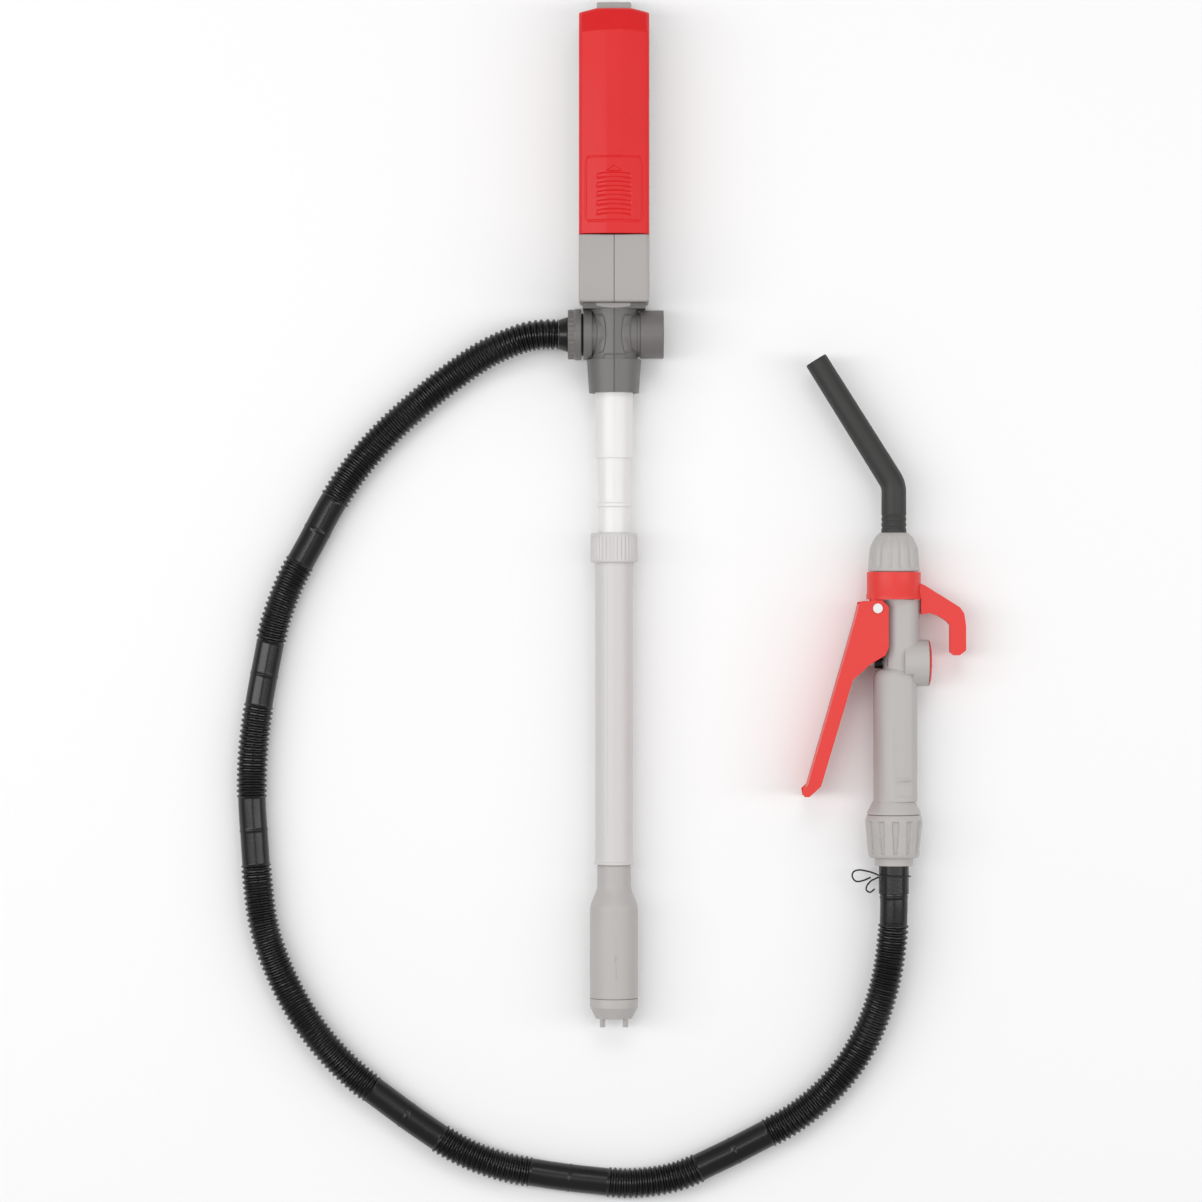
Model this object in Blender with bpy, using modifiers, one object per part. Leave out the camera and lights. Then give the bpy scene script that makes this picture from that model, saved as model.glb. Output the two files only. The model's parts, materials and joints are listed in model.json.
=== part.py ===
"""Battery transfer pump: a battery head on a telescoping suction column, a
hose and a hand nozzle, laid flat on a surface.

Metres, +Z up. The column and the nozzle lie along Y. The origin is the middle
of the flat back of the battery case, which rests on the surface.
"""
import math

import bmesh
import bpy
from mathutils import Matrix, Vector

# ---- Driving dimensions -------------------------------------------------

# Battery cells (D size) and the case around them
cell_diameter = 0.0342
cell_length = 0.0615
cell_side_gap = 0.0021
cell_back_gap = 0.0021
cell_front_gap = 0.0029
case_wall = 0.0018
case_top_wall = 0.0020
case_side_height = 0.0276
case_edge_radius = 0.0022
seam_gap = 0.0003
spring_height = 0.0054
contact_thickness = 0.0005
chamber_length = 0.0350
rail_height = 0.0034
rail_thickness = 0.0014

# Battery cover
cover_wall = 0.0020
cover_overhang = 0.0025
cover_slope_length = 0.0141
cover_slope_drop = 0.0070
cover_shoulder_width = 0.0208
cover_shoulder_drop = 0.0024

# Power button and switch
button_width = 0.0207
button_depth = 0.0100
button_rise = 0.0085
button_travel = 0.0020

# Tee between the case and the tubes
neck_length = 0.0031
tee_drop = 0.0180
manifold_radius = 0.0123
manifold_bore = 0.0096
spigot_radius = 0.0106
spigot_bore = 0.0080
barrel_wall = 0.0016
cross_barrel_radius = 0.0133
cross_barrel_right = 0.0154
flange_radius = 0.0152
flange_thickness = 0.0049
flange_face = 0.0182
skirt_length = 0.0200
skirt_wall = 0.0016
skirt_taper = 0.0013

# Outlet nut, port cap and their seals
seal_thickness = 0.0011
outlet_nut_radius = 0.0154
outlet_nut_length = 0.0081
nut_end_wall = 0.0018
port_cap_radius = 0.0145
port_cap_length = 0.0141

# Suction tubes
inner_tube_radius = 0.00948
inner_tube_wall = 0.0013
tube_step = 0.00024
glue_gap = 0.00013
slide_gap = 0.00052
upper_tube_wall = 0.00152
upper_tube_length = 0.0390
upper_tube_insertion = 0.0180
step_length = 0.0267
bead_length = 0.0028
bead_rise = 0.0009
inner_tube_reach = 0.3920
outer_tube_wall = 0.0014
outer_tube_length = 0.1914
outer_lip_rise = 0.0005
outer_lip_length = 0.0019
tube_seal_length = 0.0020

# Lock nut that grips the telescoping tube
lock_nut_gap_to_bead = 0.0154
lock_nut_radius = 0.0141
lock_nut_length = 0.0178
lock_nut_mouth_gap = 0.0008
tube_inside_nut = 0.0102

# Foot with the motor
foot_neck_radius = 0.01005
foot_neck_length = 0.0116
foot_radius = 0.0144
foot_shoulder_length = 0.0150
foot_body_length = 0.0528
foot_wall = 0.0016
foot_spigot_length = 0.0140
cap_ring_length = 0.0052
cap_cone_length = 0.0068
cap_mouth_radius = 0.0097
cap_foot_length = 0.0048
capsule_radius = 0.0106
capsule_wall = 0.0012
capsule_length = 0.0370
motor_radius = 0.0090
motor_length = 0.0260
shaft_radius = 0.0010
impeller_radius = 0.0110
impeller_length = 0.0070

# Nozzle
nozzle_offset = 0.1678
nozzle_clearance = 0.0001
nozzle_bore = 0.0052
nozzle_bore_offset = 0.0015
collar_top = -0.2470
collar_length = 0.0164
collar_radius = 0.0162
collar_lip = 0.0004
collar_wall = 0.0037
nozzle_spigot_rise = 0.0100
upper_body_radius = 0.0110
upper_body_offset = 0.0044
lower_body_radius = 0.0132
lower_body_offset = 0.0009
shoulder_drop = 0.0415
lower_body_length = 0.0792
grip_flat_width = 0.0118
grip_flat_depth = 0.0012
grip_flat_tilt = 20
flare_length = 0.0078
flare_radius = 0.0160
valve_drop = 0.0378
boss_radius = 0.0139
boss_start = 0.0060
boss_end = 0.0206
boss_cap_thickness = 0.0023
valve_bore = 0.0070

# Spout
spout_base_radius = 0.0076
spout_tip_radius = 0.0069
spout_bore = 0.0052
spout_straight = 0.0403
spout_reach_x = 0.0468
spout_reach_y = 0.0749
spout_bend_radius = 0.0150
spout_nut_rise = 0.0235
spout_nut_radius = 0.0155
spout_flange_clearance = 0.0009

# Trigger, its pivot and the hook
pivot_left = 0.0104
pivot_drop = 0.0218
pin_radius = 0.0020
pin_head_radius = 0.0029
trigger_wall = 0.0017
trigger_web = 0.0020
trigger_clearance = 0.0004
ear_thickness = 0.0032
ear_radius = 0.0036
hook_thickness = 0.0100

# Nut, ferrule and cuff at the nozzle's hose end
nozzle_nut_radius = 0.0172
nozzle_nut_length = 0.0258
nozzle_nut_end_radius = 0.0152
nozzle_thread_radius = 0.0126
ferrule_radius = 0.0114
ferrule_below_nut = 0.0047
cuff_below_ferrule = 0.0169

# Hose and wire
hose_radius = 0.0092
cuff_radius = 0.0090
cuff_bore = 0.0063
cuff_taper_length = 0.0050
clip_wire_radius = 0.0006
lead_radius = 0.0011
lead_coil_radius = 0.0048
lead_turns = 9

# Clearances shared by mating pieces
touch_gap = 0.0003
turn_gap = 0.0003
thread_gap = 0.0003
screw_radius = 0.0014
screw_head_radius = 0.0028
facets = 24

# ---- Derived places -----------------------------------------------------

case_width = cell_diameter + 2 * (cell_side_gap + case_wall)
cell_height = case_wall + cell_back_gap + cell_diameter / 2
case_depth = cell_height + cell_diameter / 2 + cell_front_gap + cover_wall
bay_length = 2 * cell_length + spring_height + 2 * contact_thickness + 0.0032
case_length = case_top_wall + bay_length + case_wall + chamber_length + case_wall
case_top = case_length / 2
case_bottom = -case_length / 2
bay_top = case_top - case_top_wall
bay_bottom = bay_top - bay_length
chamber_top = bay_bottom - case_wall
chamber_bottom = chamber_top - chamber_length
cover_bottom = bay_bottom + 0.0022
inner_half_width = case_width / 2 - case_wall
cover_top = case_top + cover_overhang

mid_tube_radius = inner_tube_radius + tube_step
upper_tube_bore = mid_tube_radius + glue_gap
upper_tube_radius = upper_tube_bore + upper_tube_wall
socket_bore = upper_tube_radius + glue_gap
socket_radius = socket_bore + skirt_wall
skirt_bottom_radius = socket_radius + touch_gap + skirt_wall
skirt_top_radius = skirt_bottom_radius + skirt_taper
column_height = skirt_top_radius + 0.0002
barrel_radius = manifold_radius + touch_gap + barrel_wall

tee_top = case_bottom - neck_length + 0.0022
tee_y = case_bottom - tee_drop
skirt_top = tee_y - flange_radius + 0.0001
skirt_bottom = skirt_top - skirt_length
upper_tube_end = skirt_bottom - upper_tube_length
bead_top = upper_tube_end - step_length
bead_bottom = bead_top - bead_length
lock_nut_top = bead_bottom - lock_nut_gap_to_bead
lock_nut_bottom = lock_nut_top - lock_nut_length
inner_tube_bore = inner_tube_radius - inner_tube_wall
outer_tube_bore = inner_tube_radius + slide_gap
outer_tube_radius = outer_tube_bore + outer_tube_wall
outer_tube_top = lock_nut_bottom + tube_inside_nut
outer_tube_end = outer_tube_top - outer_tube_length
inner_tube_end = outer_tube_end + 0.0324
foot_top = outer_tube_end - touch_gap
shoulder_top = foot_top - foot_neck_length
shoulder_bottom = shoulder_top - foot_shoulder_length
foot_end = shoulder_bottom - foot_body_length
cap_top = foot_end - touch_gap
cap_cone_top = cap_top - cap_ring_length
cap_end = cap_cone_top - cap_cone_length
foot_bore = foot_radius - foot_wall
capsule_top = shoulder_bottom - 0.0010
capsule_end = capsule_top - capsule_length
column_axis = (0, 0, column_height)

nozzle_height = nozzle_nut_radius + nozzle_clearance
nozzle_x = nozzle_offset
nozzle_axis = (nozzle_x, 0, nozzle_height)
collar_bottom = collar_top - collar_length
collar_bore = collar_radius - collar_wall
spout_flange_radius = collar_bore - spout_flange_clearance
body_top = collar_bottom - touch_gap
spigot_top = collar_top + nozzle_spigot_rise
pivot_y = collar_top - pivot_drop
pivot_x = nozzle_x - pivot_left
valve_y = body_top - valve_drop
shoulder_y = body_top - shoulder_drop
flare_y = shoulder_y - lower_body_length
body_end = flare_y - flare_length
nozzle_nut_top = body_end - touch_gap
nozzle_nut_bottom = nozzle_nut_top - nozzle_nut_length
thread_end = body_end - 0.0140
ferrule_end = nozzle_nut_bottom - ferrule_below_nut
nozzle_cuff_end = ferrule_end - cuff_below_ferrule
trigger_inside = upper_body_radius + trigger_clearance
trigger_outside = trigger_inside + trigger_wall

nut_face = flange_face + seal_thickness + touch_gap
nut_end = nut_face + outlet_nut_length
cuff_start = nut_end + touch_gap
cuff_end = cuff_start + cuff_taper_length

# ---- Scene and helpers --------------------------------------------------

ALONG_Y = (-math.pi / 2, 0, 0)
ALONG_X = (0, math.pi / 2, 0)
SIDE_VIEW = (math.pi / 2, 0, math.pi / 2)

for old in list(bpy.data.objects):
    bpy.data.objects.remove(old, do_unlink=True)
for old in list(bpy.data.collections):
    bpy.data.collections.remove(old)

parts = bpy.data.collections.new("transfer_pump")
cutters = bpy.data.collections.new("cutters")
bpy.context.scene.collection.children.link(parts)
bpy.context.scene.collection.children.link(cutters)


def material(name, colour, roughness, metallic=0.0):
    made = bpy.data.materials.new(name)
    made.use_nodes = True
    shader = made.node_tree.nodes["Principled BSDF"]
    shader.inputs["Base Color"].default_value = (*colour, 1.0)
    shader.inputs["Roughness"].default_value = roughness
    shader.inputs["Metallic"].default_value = metallic
    return made


red_plastic = material("red_plastic", (0.72, 0.02, 0.02), 0.35)
case_grey = material("case_grey", (0.28, 0.27, 0.27), 0.5)
light_grey = material("light_grey", (0.50, 0.48, 0.47), 0.45)
white_plastic = material("white_plastic", (0.78, 0.77, 0.76), 0.4)
black_rubber = material("black_rubber", (0.01, 0.01, 0.01), 0.35)
charcoal = material("charcoal", (0.045, 0.045, 0.045), 0.6)
seal_rubber = material("seal_rubber", (0.015, 0.015, 0.015), 0.7)
steel = material("steel", (0.55, 0.55, 0.56), 0.3, 1.0)
brass = material("brass", (0.7, 0.5, 0.2), 0.3, 1.0)
cell_steel = material("cell_steel", (0.35, 0.36, 0.38), 0.35, 1.0)
black_wire = material("black_wire", (0.01, 0.01, 0.01), 0.4, 1.0)


def place(obj, colour, collection=None):
    (collection or parts).objects.link(obj)
    if colour is None:
        obj.hide_render = True
        obj.display_type = "WIRE"
    else:
        obj.data.materials.append(colour)
    return obj


def home(colour):
    """Cutters carry no material and go in their own collection."""
    return cutters if colour is None else parts


def box(name, low, high, colour=None):
    """A block between two corners."""
    mesh = bpy.data.meshes.new(name)
    shape = bmesh.new()
    size = Vector(high) - Vector(low)
    middle = (Vector(high) + Vector(low)) / 2
    scale = Matrix.Diagonal((*size, 1.0))
    bmesh.ops.create_cube(shape, size=1.0, matrix=scale)
    shape.to_mesh(mesh)
    shape.free()
    obj = bpy.data.objects.new(name, mesh)
    obj.location = middle
    return place(obj, colour, home(colour))


def turned(name, profile, at, aim, colour=None, steps=facets):
    """A turned shape. profile holds (radius, distance along the axis) down the
    outer side and, when it has a bore, back up the inner side."""
    mesh = bpy.data.meshes.new(name)
    points = [(radius, 0, along) for radius, along in profile]
    solid = profile[0][0] == 0 and profile[-1][0] == 0
    edges = [(i, i + 1) for i in range(len(points) - 1)]
    if not solid:
        edges.append((len(points) - 1, 0))
    mesh.from_pydata(points, edges, [])
    obj = bpy.data.objects.new(name, mesh)
    obj.location = at
    obj.rotation_euler = aim
    screw = obj.modifiers.new("turn", "SCREW")
    screw.axis = "Z"
    screw.steps = steps
    screw.render_steps = steps
    screw.use_merge_vertices = True
    screw.merge_threshold = 0.00001
    screw.use_smooth_shade = True
    return place(obj, colour, home(colour))


def rod(name, radius, low, high, at, aim, colour=None, steps=facets):
    profile = [(0, high), (radius, high), (radius, low), (0, low)]
    return turned(name, profile, at, aim, colour, steps)


def ring(name, radius, bore, low, high, at, aim, colour=None, steps=facets):
    profile = [(radius, high), (radius, low), (bore, low), (bore, high)]
    return turned(name, profile, at, aim, colour, steps)


def as_mesh(curve_object, colour, join_flat=True):
    """Turns a curve object into a closed mesh object in the same place."""
    bpy.context.view_layer.update()
    graph = bpy.context.evaluated_depsgraph_get()
    mesh = bpy.data.meshes.new_from_object(curve_object.evaluated_get(graph))
    shape = bmesh.new()
    shape.from_mesh(mesh)
    bmesh.ops.remove_doubles(shape, verts=shape.verts, dist=0.000002)
    if join_flat:
        bmesh.ops.dissolve_limit(
            shape, angle_limit=0.001, verts=shape.verts, edges=shape.edges
        )
    bmesh.ops.recalc_face_normals(shape, faces=shape.faces)
    shape.to_mesh(mesh)
    shape.free()
    name = curve_object.name
    matrix = curve_object.matrix_world.copy()
    bpy.data.objects.remove(curve_object, do_unlink=True)
    obj = bpy.data.objects.new(name, mesh)
    obj.matrix_world = matrix
    mesh.materials.clear()
    return place(obj, colour, home(colour))


def plate(name, points, low, high, aim=(0, 0, 0), colour=None):
    """A flat outline given thickness from low to high along its own Z."""
    curve = bpy.data.curves.new(name, "CURVE")
    curve.dimensions = "2D"
    curve.fill_mode = "BOTH"
    curve.extrude = (high - low) / 2
    spline = curve.splines.new("POLY")
    spline.points.add(len(points) - 1)
    for point, (u, v) in zip(spline.points, points):
        point.co = (u, v, 0, 1)
    spline.use_cyclic_u = True
    obj = bpy.data.objects.new(name, curve)
    obj.rotation_euler = aim
    turn = obj.rotation_euler.to_matrix()
    obj.location = turn @ Vector((0, 0, (high + low) / 2))
    parts.objects.link(obj)
    return as_mesh(obj, colour)


def tube(name, points, radius, colour=None, resolution=2, scales=None):
    """A round bar along points, closed at both ends."""
    curve = bpy.data.curves.new(name, "CURVE")
    curve.dimensions = "3D"
    curve.bevel_depth = radius
    curve.bevel_resolution = resolution
    curve.use_fill_caps = True
    spline = curve.splines.new("POLY")
    spline.points.add(len(points) - 1)
    for i, (point, place_at) in enumerate(zip(spline.points, points)):
        point.co = (*place_at, 1)
        point.radius = scales[i] if scales else 1.0
    obj = bpy.data.objects.new(name, curve)
    parts.objects.link(obj)
    return as_mesh(obj, colour, join_flat=False)


def boolean(obj, other, operation):
    step = obj.modifiers.new(operation.lower(), "BOOLEAN")
    step.operation = operation
    step.solver = "EXACT"
    step.object = other
    weld = obj.modifiers.new("close_corners", "WELD")
    weld.merge_threshold = 0.000002
    return obj


def cut(obj, *others):
    for other in others:
        boolean(obj, other, "DIFFERENCE")
    return obj


def join(obj, *others):
    for other in others:
        boolean(obj, other, "UNION")
    return obj


def round_edges(obj, width, segments=2):
    bevel = obj.modifiers.new("edges", "BEVEL")
    bevel.width = width
    bevel.segments = segments
    bevel.limit_method = "ANGLE"
    bevel.angle_limit = math.radians(40)
    return obj


def arc(centre, radius, start, end, count):
    """Points on an arc, angles in degrees."""
    for i in range(count + 1):
        angle = math.radians(start + (end - start) * i / count)
        x = centre[0] + radius * math.cos(angle)
        y = centre[1] + radius * math.sin(angle)
        yield (x, y)


# ---- Head: two shells with the case, the neck, the tee and the skirt ----


def side_outline(bottom, top, back, step_y, step_z, front):
    """The case from the side: low behind the cover, full depth below it."""
    return [
        (bottom, back),
        (top, back),
        (top, step_z),
        (step_y, step_z),
        (step_y, front),
        (bottom, front),
    ]


def shell_form():
    """The closed outer form of both shells, hollowed for what they hold."""
    half = case_width / 2
    block_top = cover_bottom - touch_gap
    outline = side_outline(
        case_bottom, case_top, 0, block_top, case_side_height, case_depth - 0.0004
    )
    form = plate("shell_form", outline, -half, half, SIDE_VIEW)
    round_edges(form, case_edge_radius)
    neck_half = half - 0.0022
    neck = box(
        "neck",
        (-neck_half, case_bottom - neck_length, 0.0025),
        (neck_half, case_bottom + 0.0010, 0.0305),
    )
    barrel = rod(
        "barrel", barrel_radius, skirt_top - 0.0005, case_bottom + 0.0006,
        column_axis, ALONG_Y,
    )
    cross = rod(
        "cross_barrel", cross_barrel_radius, -flange_face + 0.0005,
        cross_barrel_right, (0, tee_y, column_height), ALONG_X,
    )
    flange = rod(
        "outlet_flange", flange_radius, -flange_face,
        -flange_face + flange_thickness, (0, tee_y, column_height), ALONG_X,
    )
    skirt = turned(
        "skirt",
        [
            (0, skirt_top),
            (skirt_top_radius, skirt_top),
            (skirt_bottom_radius, skirt_bottom),
            (0, skirt_bottom),
        ],
        column_axis, ALONG_Y,
    )
    join(form, neck, barrel, cross, flange, skirt)

    inner = inner_half_width
    bay = box(
        "bay",
        (-inner, cover_bottom + 0.0015, case_wall),
        (inner, bay_top, case_depth + 0.01),
    )
    bay_foot = box(
        "bay_foot",
        (-inner, bay_bottom, case_wall),
        (inner, cover_bottom + 0.0020, case_depth - cover_wall),
    )
    chamber = box(
        "chamber",
        (-inner, chamber_bottom, case_wall),
        (inner, chamber_top, case_depth - 0.0004 - case_wall),
    )
    button_hole = box(
        "button_hole",
        (-button_width / 2 - touch_gap, bay_top - 0.001, button_low - touch_gap),
        (button_width / 2 + touch_gap, case_top + 0.01, button_high + touch_gap),
    )
    lead_hole = rod(
        "lead_hole", 0.0044, manifold_top - 0.002, chamber_bottom + 0.002,
        column_axis, ALONG_Y,
    )
    bore = turned(
        "column_bore",
        [
            (0, manifold_top + touch_gap),
            (manifold_radius + touch_gap, manifold_top + touch_gap),
            (manifold_radius + touch_gap, socket_top + touch_gap),
            (socket_radius + touch_gap, socket_top + touch_gap),
            (socket_radius + touch_gap, skirt_bottom - 0.002),
            (0, skirt_bottom - 0.002),
        ],
        column_axis, ALONG_Y,
    )
    cross_bore = rod(
        "cross_bore", spigot_radius + touch_gap, -flange_face - 0.002,
        cross_barrel_right + 0.002, (0, tee_y, column_height), ALONG_X,
    )
    cut(form, bay, bay_foot, chamber, button_hole, lead_hole, bore, cross_bore)
    return form


manifold_top = case_bottom - 0.0022
socket_top = skirt_top - 0.0014
button_low = 0.0050
button_high = button_low + button_depth


def screw_places():
    """Height and depth of each screw that closes the shells."""
    high = (chamber_top - 0.0072, case_wall + 0.0072)
    low = (chamber_bottom + 0.0068, case_depth - 0.0090)
    return {"case_screw_upper": high, "case_screw_lower": low}


def head_shells():
    form = shell_form()
    reach = case_width
    low_y = skirt_bottom - 0.01
    high_y = case_top + 0.01
    left = box(
        "head_shell_left",
        (-reach, low_y, -0.01),
        (-seam_gap / 2, high_y, case_depth + 0.01),
        case_grey,
    )
    right = box(
        "head_shell_right",
        (seam_gap / 2, low_y, -0.01),
        (reach, high_y, case_depth + 0.01),
        case_grey,
    )
    for shell, side in ((left, -1), (right, 1)):
        boolean(shell, form, "INTERSECT")
        near = seam_gap / 2 * side
        far = (inner_half_width + 0.0005) * side
        for name, (y, z) in screw_places().items():
            post = rod(
                f"{shell.name}_{name}_post", 0.0034, min(near, far),
                max(near, far), (0, y, z), ALONG_X,
            )
            join(shell, post)
        rail_low = inner_half_width - touch_gap - rail_thickness
        ends = sorted((rail_low * side, (inner_half_width + 0.0003) * side))
        rail = box(
            f"{shell.name}_rail",
            (ends[0], cover_bottom + 0.0030, case_side_height - 0.0030),
            (ends[1], bay_top - 0.0040, case_side_height + rail_height),
        )
        rail_face = box(
            f"{shell.name}_rail_face",
            sorted_corner(inner_half_width - touch_gap, side, 0.0, case_side_height),
            sorted_corner(inner_half_width - touch_gap, side, 0.01, case_depth),
        )
        cut(rail, rail_face)
        join(shell, rail)
        tongue = back_tongue(shell.name, side)
        if side < 0:
            cut(shell, tongue)
        else:
            join(shell, tongue)
        for name, (y, z) in screw_places().items():
            hole = screw_radius + (0.0004 if side < 0 else 0.0002)
            span = (-case_width, 0.002) if side < 0 else (-0.002, 0.0152)
            hole_cut = rod(
                f"{shell.name}_{name}_hole", hole, span[0], span[1],
                (0, y, z), ALONG_X, steps=12,
            )
            cut(shell, hole_cut)
            if side < 0:
                seat = rod(
                    f"{name}_seat", screw_head_radius + touch_gap,
                    -case_width, -case_width / 2 + 0.0030, (0, y, z), ALONG_X,
                    steps=16,
                )
                cut(shell, seat)


def back_tongue(name, side):
    """A tongue on the right shell that seats in a notch in the left one."""
    room = touch_gap if side < 0 else 0.0
    reach = 0.0040
    low_z = 0.0 - (0.001 if side < 0 else 0)
    high_z = case_wall + (0.001 if side < 0 else 0)
    return box(
        f"{name}_tongue",
        (-reach - room, -reach - room, low_z),
        (0.0 if side < 0 else 0.0010, reach + room, high_z),
    )


def sorted_corner(inner, side, outward, height):
    """A corner of the block that trims the outer face of a rail."""
    low_y = bay_bottom - 0.01
    high_y = case_top + 0.01
    if side < 0:
        return (-inner - 0.01, low_y, height) if outward == 0 else (-inner, high_y, height)
    return (inner, low_y, height) if outward == 0 else (inner + 0.01, high_y, height)


def case_screws():
    for name, (y, z) in screw_places().items():
        head = -case_width / 2 + 0.0030
        turned(
            name,
            [
                (0, 0.0140),
                (screw_radius, 0.0140),
                (screw_radius, head - touch_gap),
                (screw_head_radius, head - touch_gap),
                (screw_head_radius, head - 0.0020),
                (0, head - 0.0020),
            ],
            (0, y, z), ALONG_X, steel, 12,
        )


def battery_cover():
    half = case_width / 2
    back = case_side_height + 0.0004
    slope_start = cover_top - cover_slope_length
    slope_low = case_depth - cover_slope_drop
    outer = [
        (cover_bottom, back),
        (cover_top, back),
        (cover_top, slope_low),
        (slope_start, case_depth),
        (cover_bottom, case_depth),
    ]
    cover = plate("battery_cover", outer, -half, half, SIDE_VIEW, red_plastic)
    inside_top = cover_top - case_wall
    inner = [
        (cover_bottom - 0.01, back - 0.01),
        (inside_top, back - 0.01),
        (inside_top, slope_low - cover_wall * 0.75),
        (slope_start - 0.0007, case_depth - cover_wall),
        (cover_bottom - 0.01, case_depth - cover_wall),
    ]
    cover.name = "battery_cover"
    hollow = plate(
        "cover_hollow", inner, -inner_half_width, inner_half_width, SIDE_VIEW
    )
    shoulder = cover_shoulder_width / 2
    low = cover_top - cover_shoulder_drop
    corners = []
    for side in (-1, 1):
        points = [
            (shoulder * side, cover_top + 0.0002),
            (half * side, low),
            ((half + 0.005) * side, low),
            ((half + 0.005) * side, cover_top + 0.005),
            (shoulder * side, cover_top + 0.005),
        ]
        corners.append(plate(f"cover_corner_{side}", points, 0, case_depth + 0.01))
    round_edges(cover, 0.0012)
    cut(cover, hollow, *corners)


def battery_cells():
    top = bay_top - 0.0018 - contact_thickness - touch_gap
    for name, end in (
        ("battery_cell_upper", top),
        ("battery_cell_lower", top - cell_length - touch_gap),
    ):
        radius = cell_diameter / 2
        turned(
            name,
            [
                (0, end),
                (0.00475, end),
                (0.00475, end - 0.0015),
                (radius - 0.0008, end - 0.0015),
                (radius, end - 0.0025),
                (radius, end - cell_length + 0.0006),
                (radius - 0.0008, end - cell_length),
                (0, end - cell_length),
            ],
            (0, 0, cell_height), ALONG_Y, cell_steel,
        )
    return top - 2 * cell_length - touch_gap


def contacts(stack_bottom):
    plate_low = bay_bottom + touch_gap
    plate_top = plate_low + contact_thickness
    box(
        "spring_plate",
        (-0.0100, plate_low, cell_height - 0.0090),
        (0.0100, plate_top, cell_height + 0.0090),
        brass,
    )
    box(
        "contact_plate",
        (-0.0060, bay_top - 0.0018 - contact_thickness, cell_height - 0.0045),
        (0.0060, bay_top - 0.0018, cell_height + 0.0045),
        brass,
    )
    wire = 0.00045
    turns = 3
    count = 8 * turns
    low = plate_top + wire + touch_gap
    high = stack_bottom - wire - touch_gap
    points = []
    for i in range(count + 1):
        angle = 2 * math.pi * turns * i / count
        radius = 0.0072 - 0.0030 * i / count
        x = radius * math.cos(angle)
        z = cell_height + radius * math.sin(angle)
        points.append((x, low + (high - low) * i / count, z))
    tube("contact_spring", points, wire, steel, 0)
    box(
        "return_strip",
        (-0.0020, bay_bottom + touch_gap, case_wall + touch_gap),
        (0.0020, bay_top - 0.0030, case_wall + touch_gap + 0.0006),
        brass,
    )


def power_button():
    half = button_width / 2
    top = case_top + button_rise
    tab = box(
        "power_button",
        (-half, bay_top - 0.0012, button_low),
        (half, top, button_high),
        charcoal,
    )
    round_edges(tab, 0.0008)
    flange = box(
        "button_flange",
        (-half - 0.0012, bay_top - 0.0014, button_low - 0.0012),
        (half + 0.0012, bay_top - touch_gap, button_high + 0.0008),
    )
    finger = box(
        "button_finger",
        (half, bay_top - 0.0014, button_low - 0.0012),
        (inner_half_width - 0.0007, bay_top - touch_gap, button_low + 0.0012),
    )
    join(tab, flange, finger)
    top_of_switch = bay_top - 0.0014 - button_travel - touch_gap
    block = box(
        "switch_block",
        (inner_half_width - 0.0058, top_of_switch - 0.0200, case_wall + touch_gap),
        (inner_half_width - touch_gap, top_of_switch, case_wall + touch_gap + 0.0052),
        charcoal,
    )
    round_edges(block, 0.0004, 1)


def terminal_block():
    middle = chamber_bottom + 0.0140
    box(
        "terminal_block",
        (-0.0050, middle - 0.0035, column_height - 0.0050),
        (0.0050, middle + 0.0035, column_height + 0.0050),
        charcoal,
    )
    return middle - 0.0035


# ---- Tee inside the shells ----------------------------------------------


def manifold():
    pipe = turned(
        "manifold",
        [
            (0.0026, manifold_top),
            (manifold_radius, manifold_top),
            (manifold_radius, socket_top),
            (socket_radius, socket_top),
            (socket_radius, skirt_bottom + touch_gap),
            (socket_bore, skirt_bottom + touch_gap),
            (socket_bore, socket_top - 0.0008),
            (0.0026, socket_top - 0.0008),
        ],
        column_axis, ALONG_Y, case_grey,
    )
    cross = rod(
        "manifold_cross", spigot_radius, -spigot_end, port_end,
        (0, tee_y, column_height), ALONG_X,
    )
    bore = turned(
        "manifold_bore",
        [
            (0, manifold_top - 0.0024),
            (manifold_bore, manifold_top - 0.0024),
            (manifold_bore, socket_top - 0.003),
            (0, socket_top - 0.003),
        ],
        column_axis, ALONG_Y,
    )
    cross_bore = rod(
        "manifold_cross_bore", spigot_bore, -spigot_end - 0.002, port_end + 0.002,
        (0, tee_y, column_height), ALONG_X,
    )
    join(pipe, cross)
    cut(pipe, bore, cross_bore)


spigot_end = nut_end - nut_end_wall - 0.0021
port_end = cross_barrel_right + touch_gap + port_cap_length - 0.0043


def lead_grommet():
    turned(
        "lead_grommet",
        [
            (lead_radius + touch_gap, chamber_bottom + 0.0010),
            (0.0040, chamber_bottom + 0.0010),
            (0.0040, manifold_top + touch_gap),
            (0.0023, manifold_top + touch_gap),
            (0.0023, manifold_top - 0.0030),
            (lead_radius + touch_gap, manifold_top - 0.0030),
        ],
        column_axis, ALONG_Y, seal_rubber, 12,
    )


def motor_lead(start):
    """The lead hangs in a loose coil, so that the column can be drawn out."""
    top = manifold_top - 0.0060
    coil_top = top - 0.0120
    coil_bottom = shoulder_top + 0.0080
    end = capsule_top + touch_gap + 0.0004
    points = [(0, start - touch_gap, column_height), (0, top, column_height)]
    count = 9 * lead_turns
    for i in range(count + 1):
        share = i / count
        fade = min(1.0, share * 12, (1 - share) * 12)
        angle = 2 * math.pi * lead_turns * share
        x = lead_coil_radius * fade * math.cos(angle)
        z = column_height + lead_coil_radius * fade * math.sin(angle)
        points.append((x, coil_top + (coil_bottom - coil_top) * share, z))
    points.append((0, end, column_height))
    tube("motor_lead", points, lead_radius, seal_rubber, 0)


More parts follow.
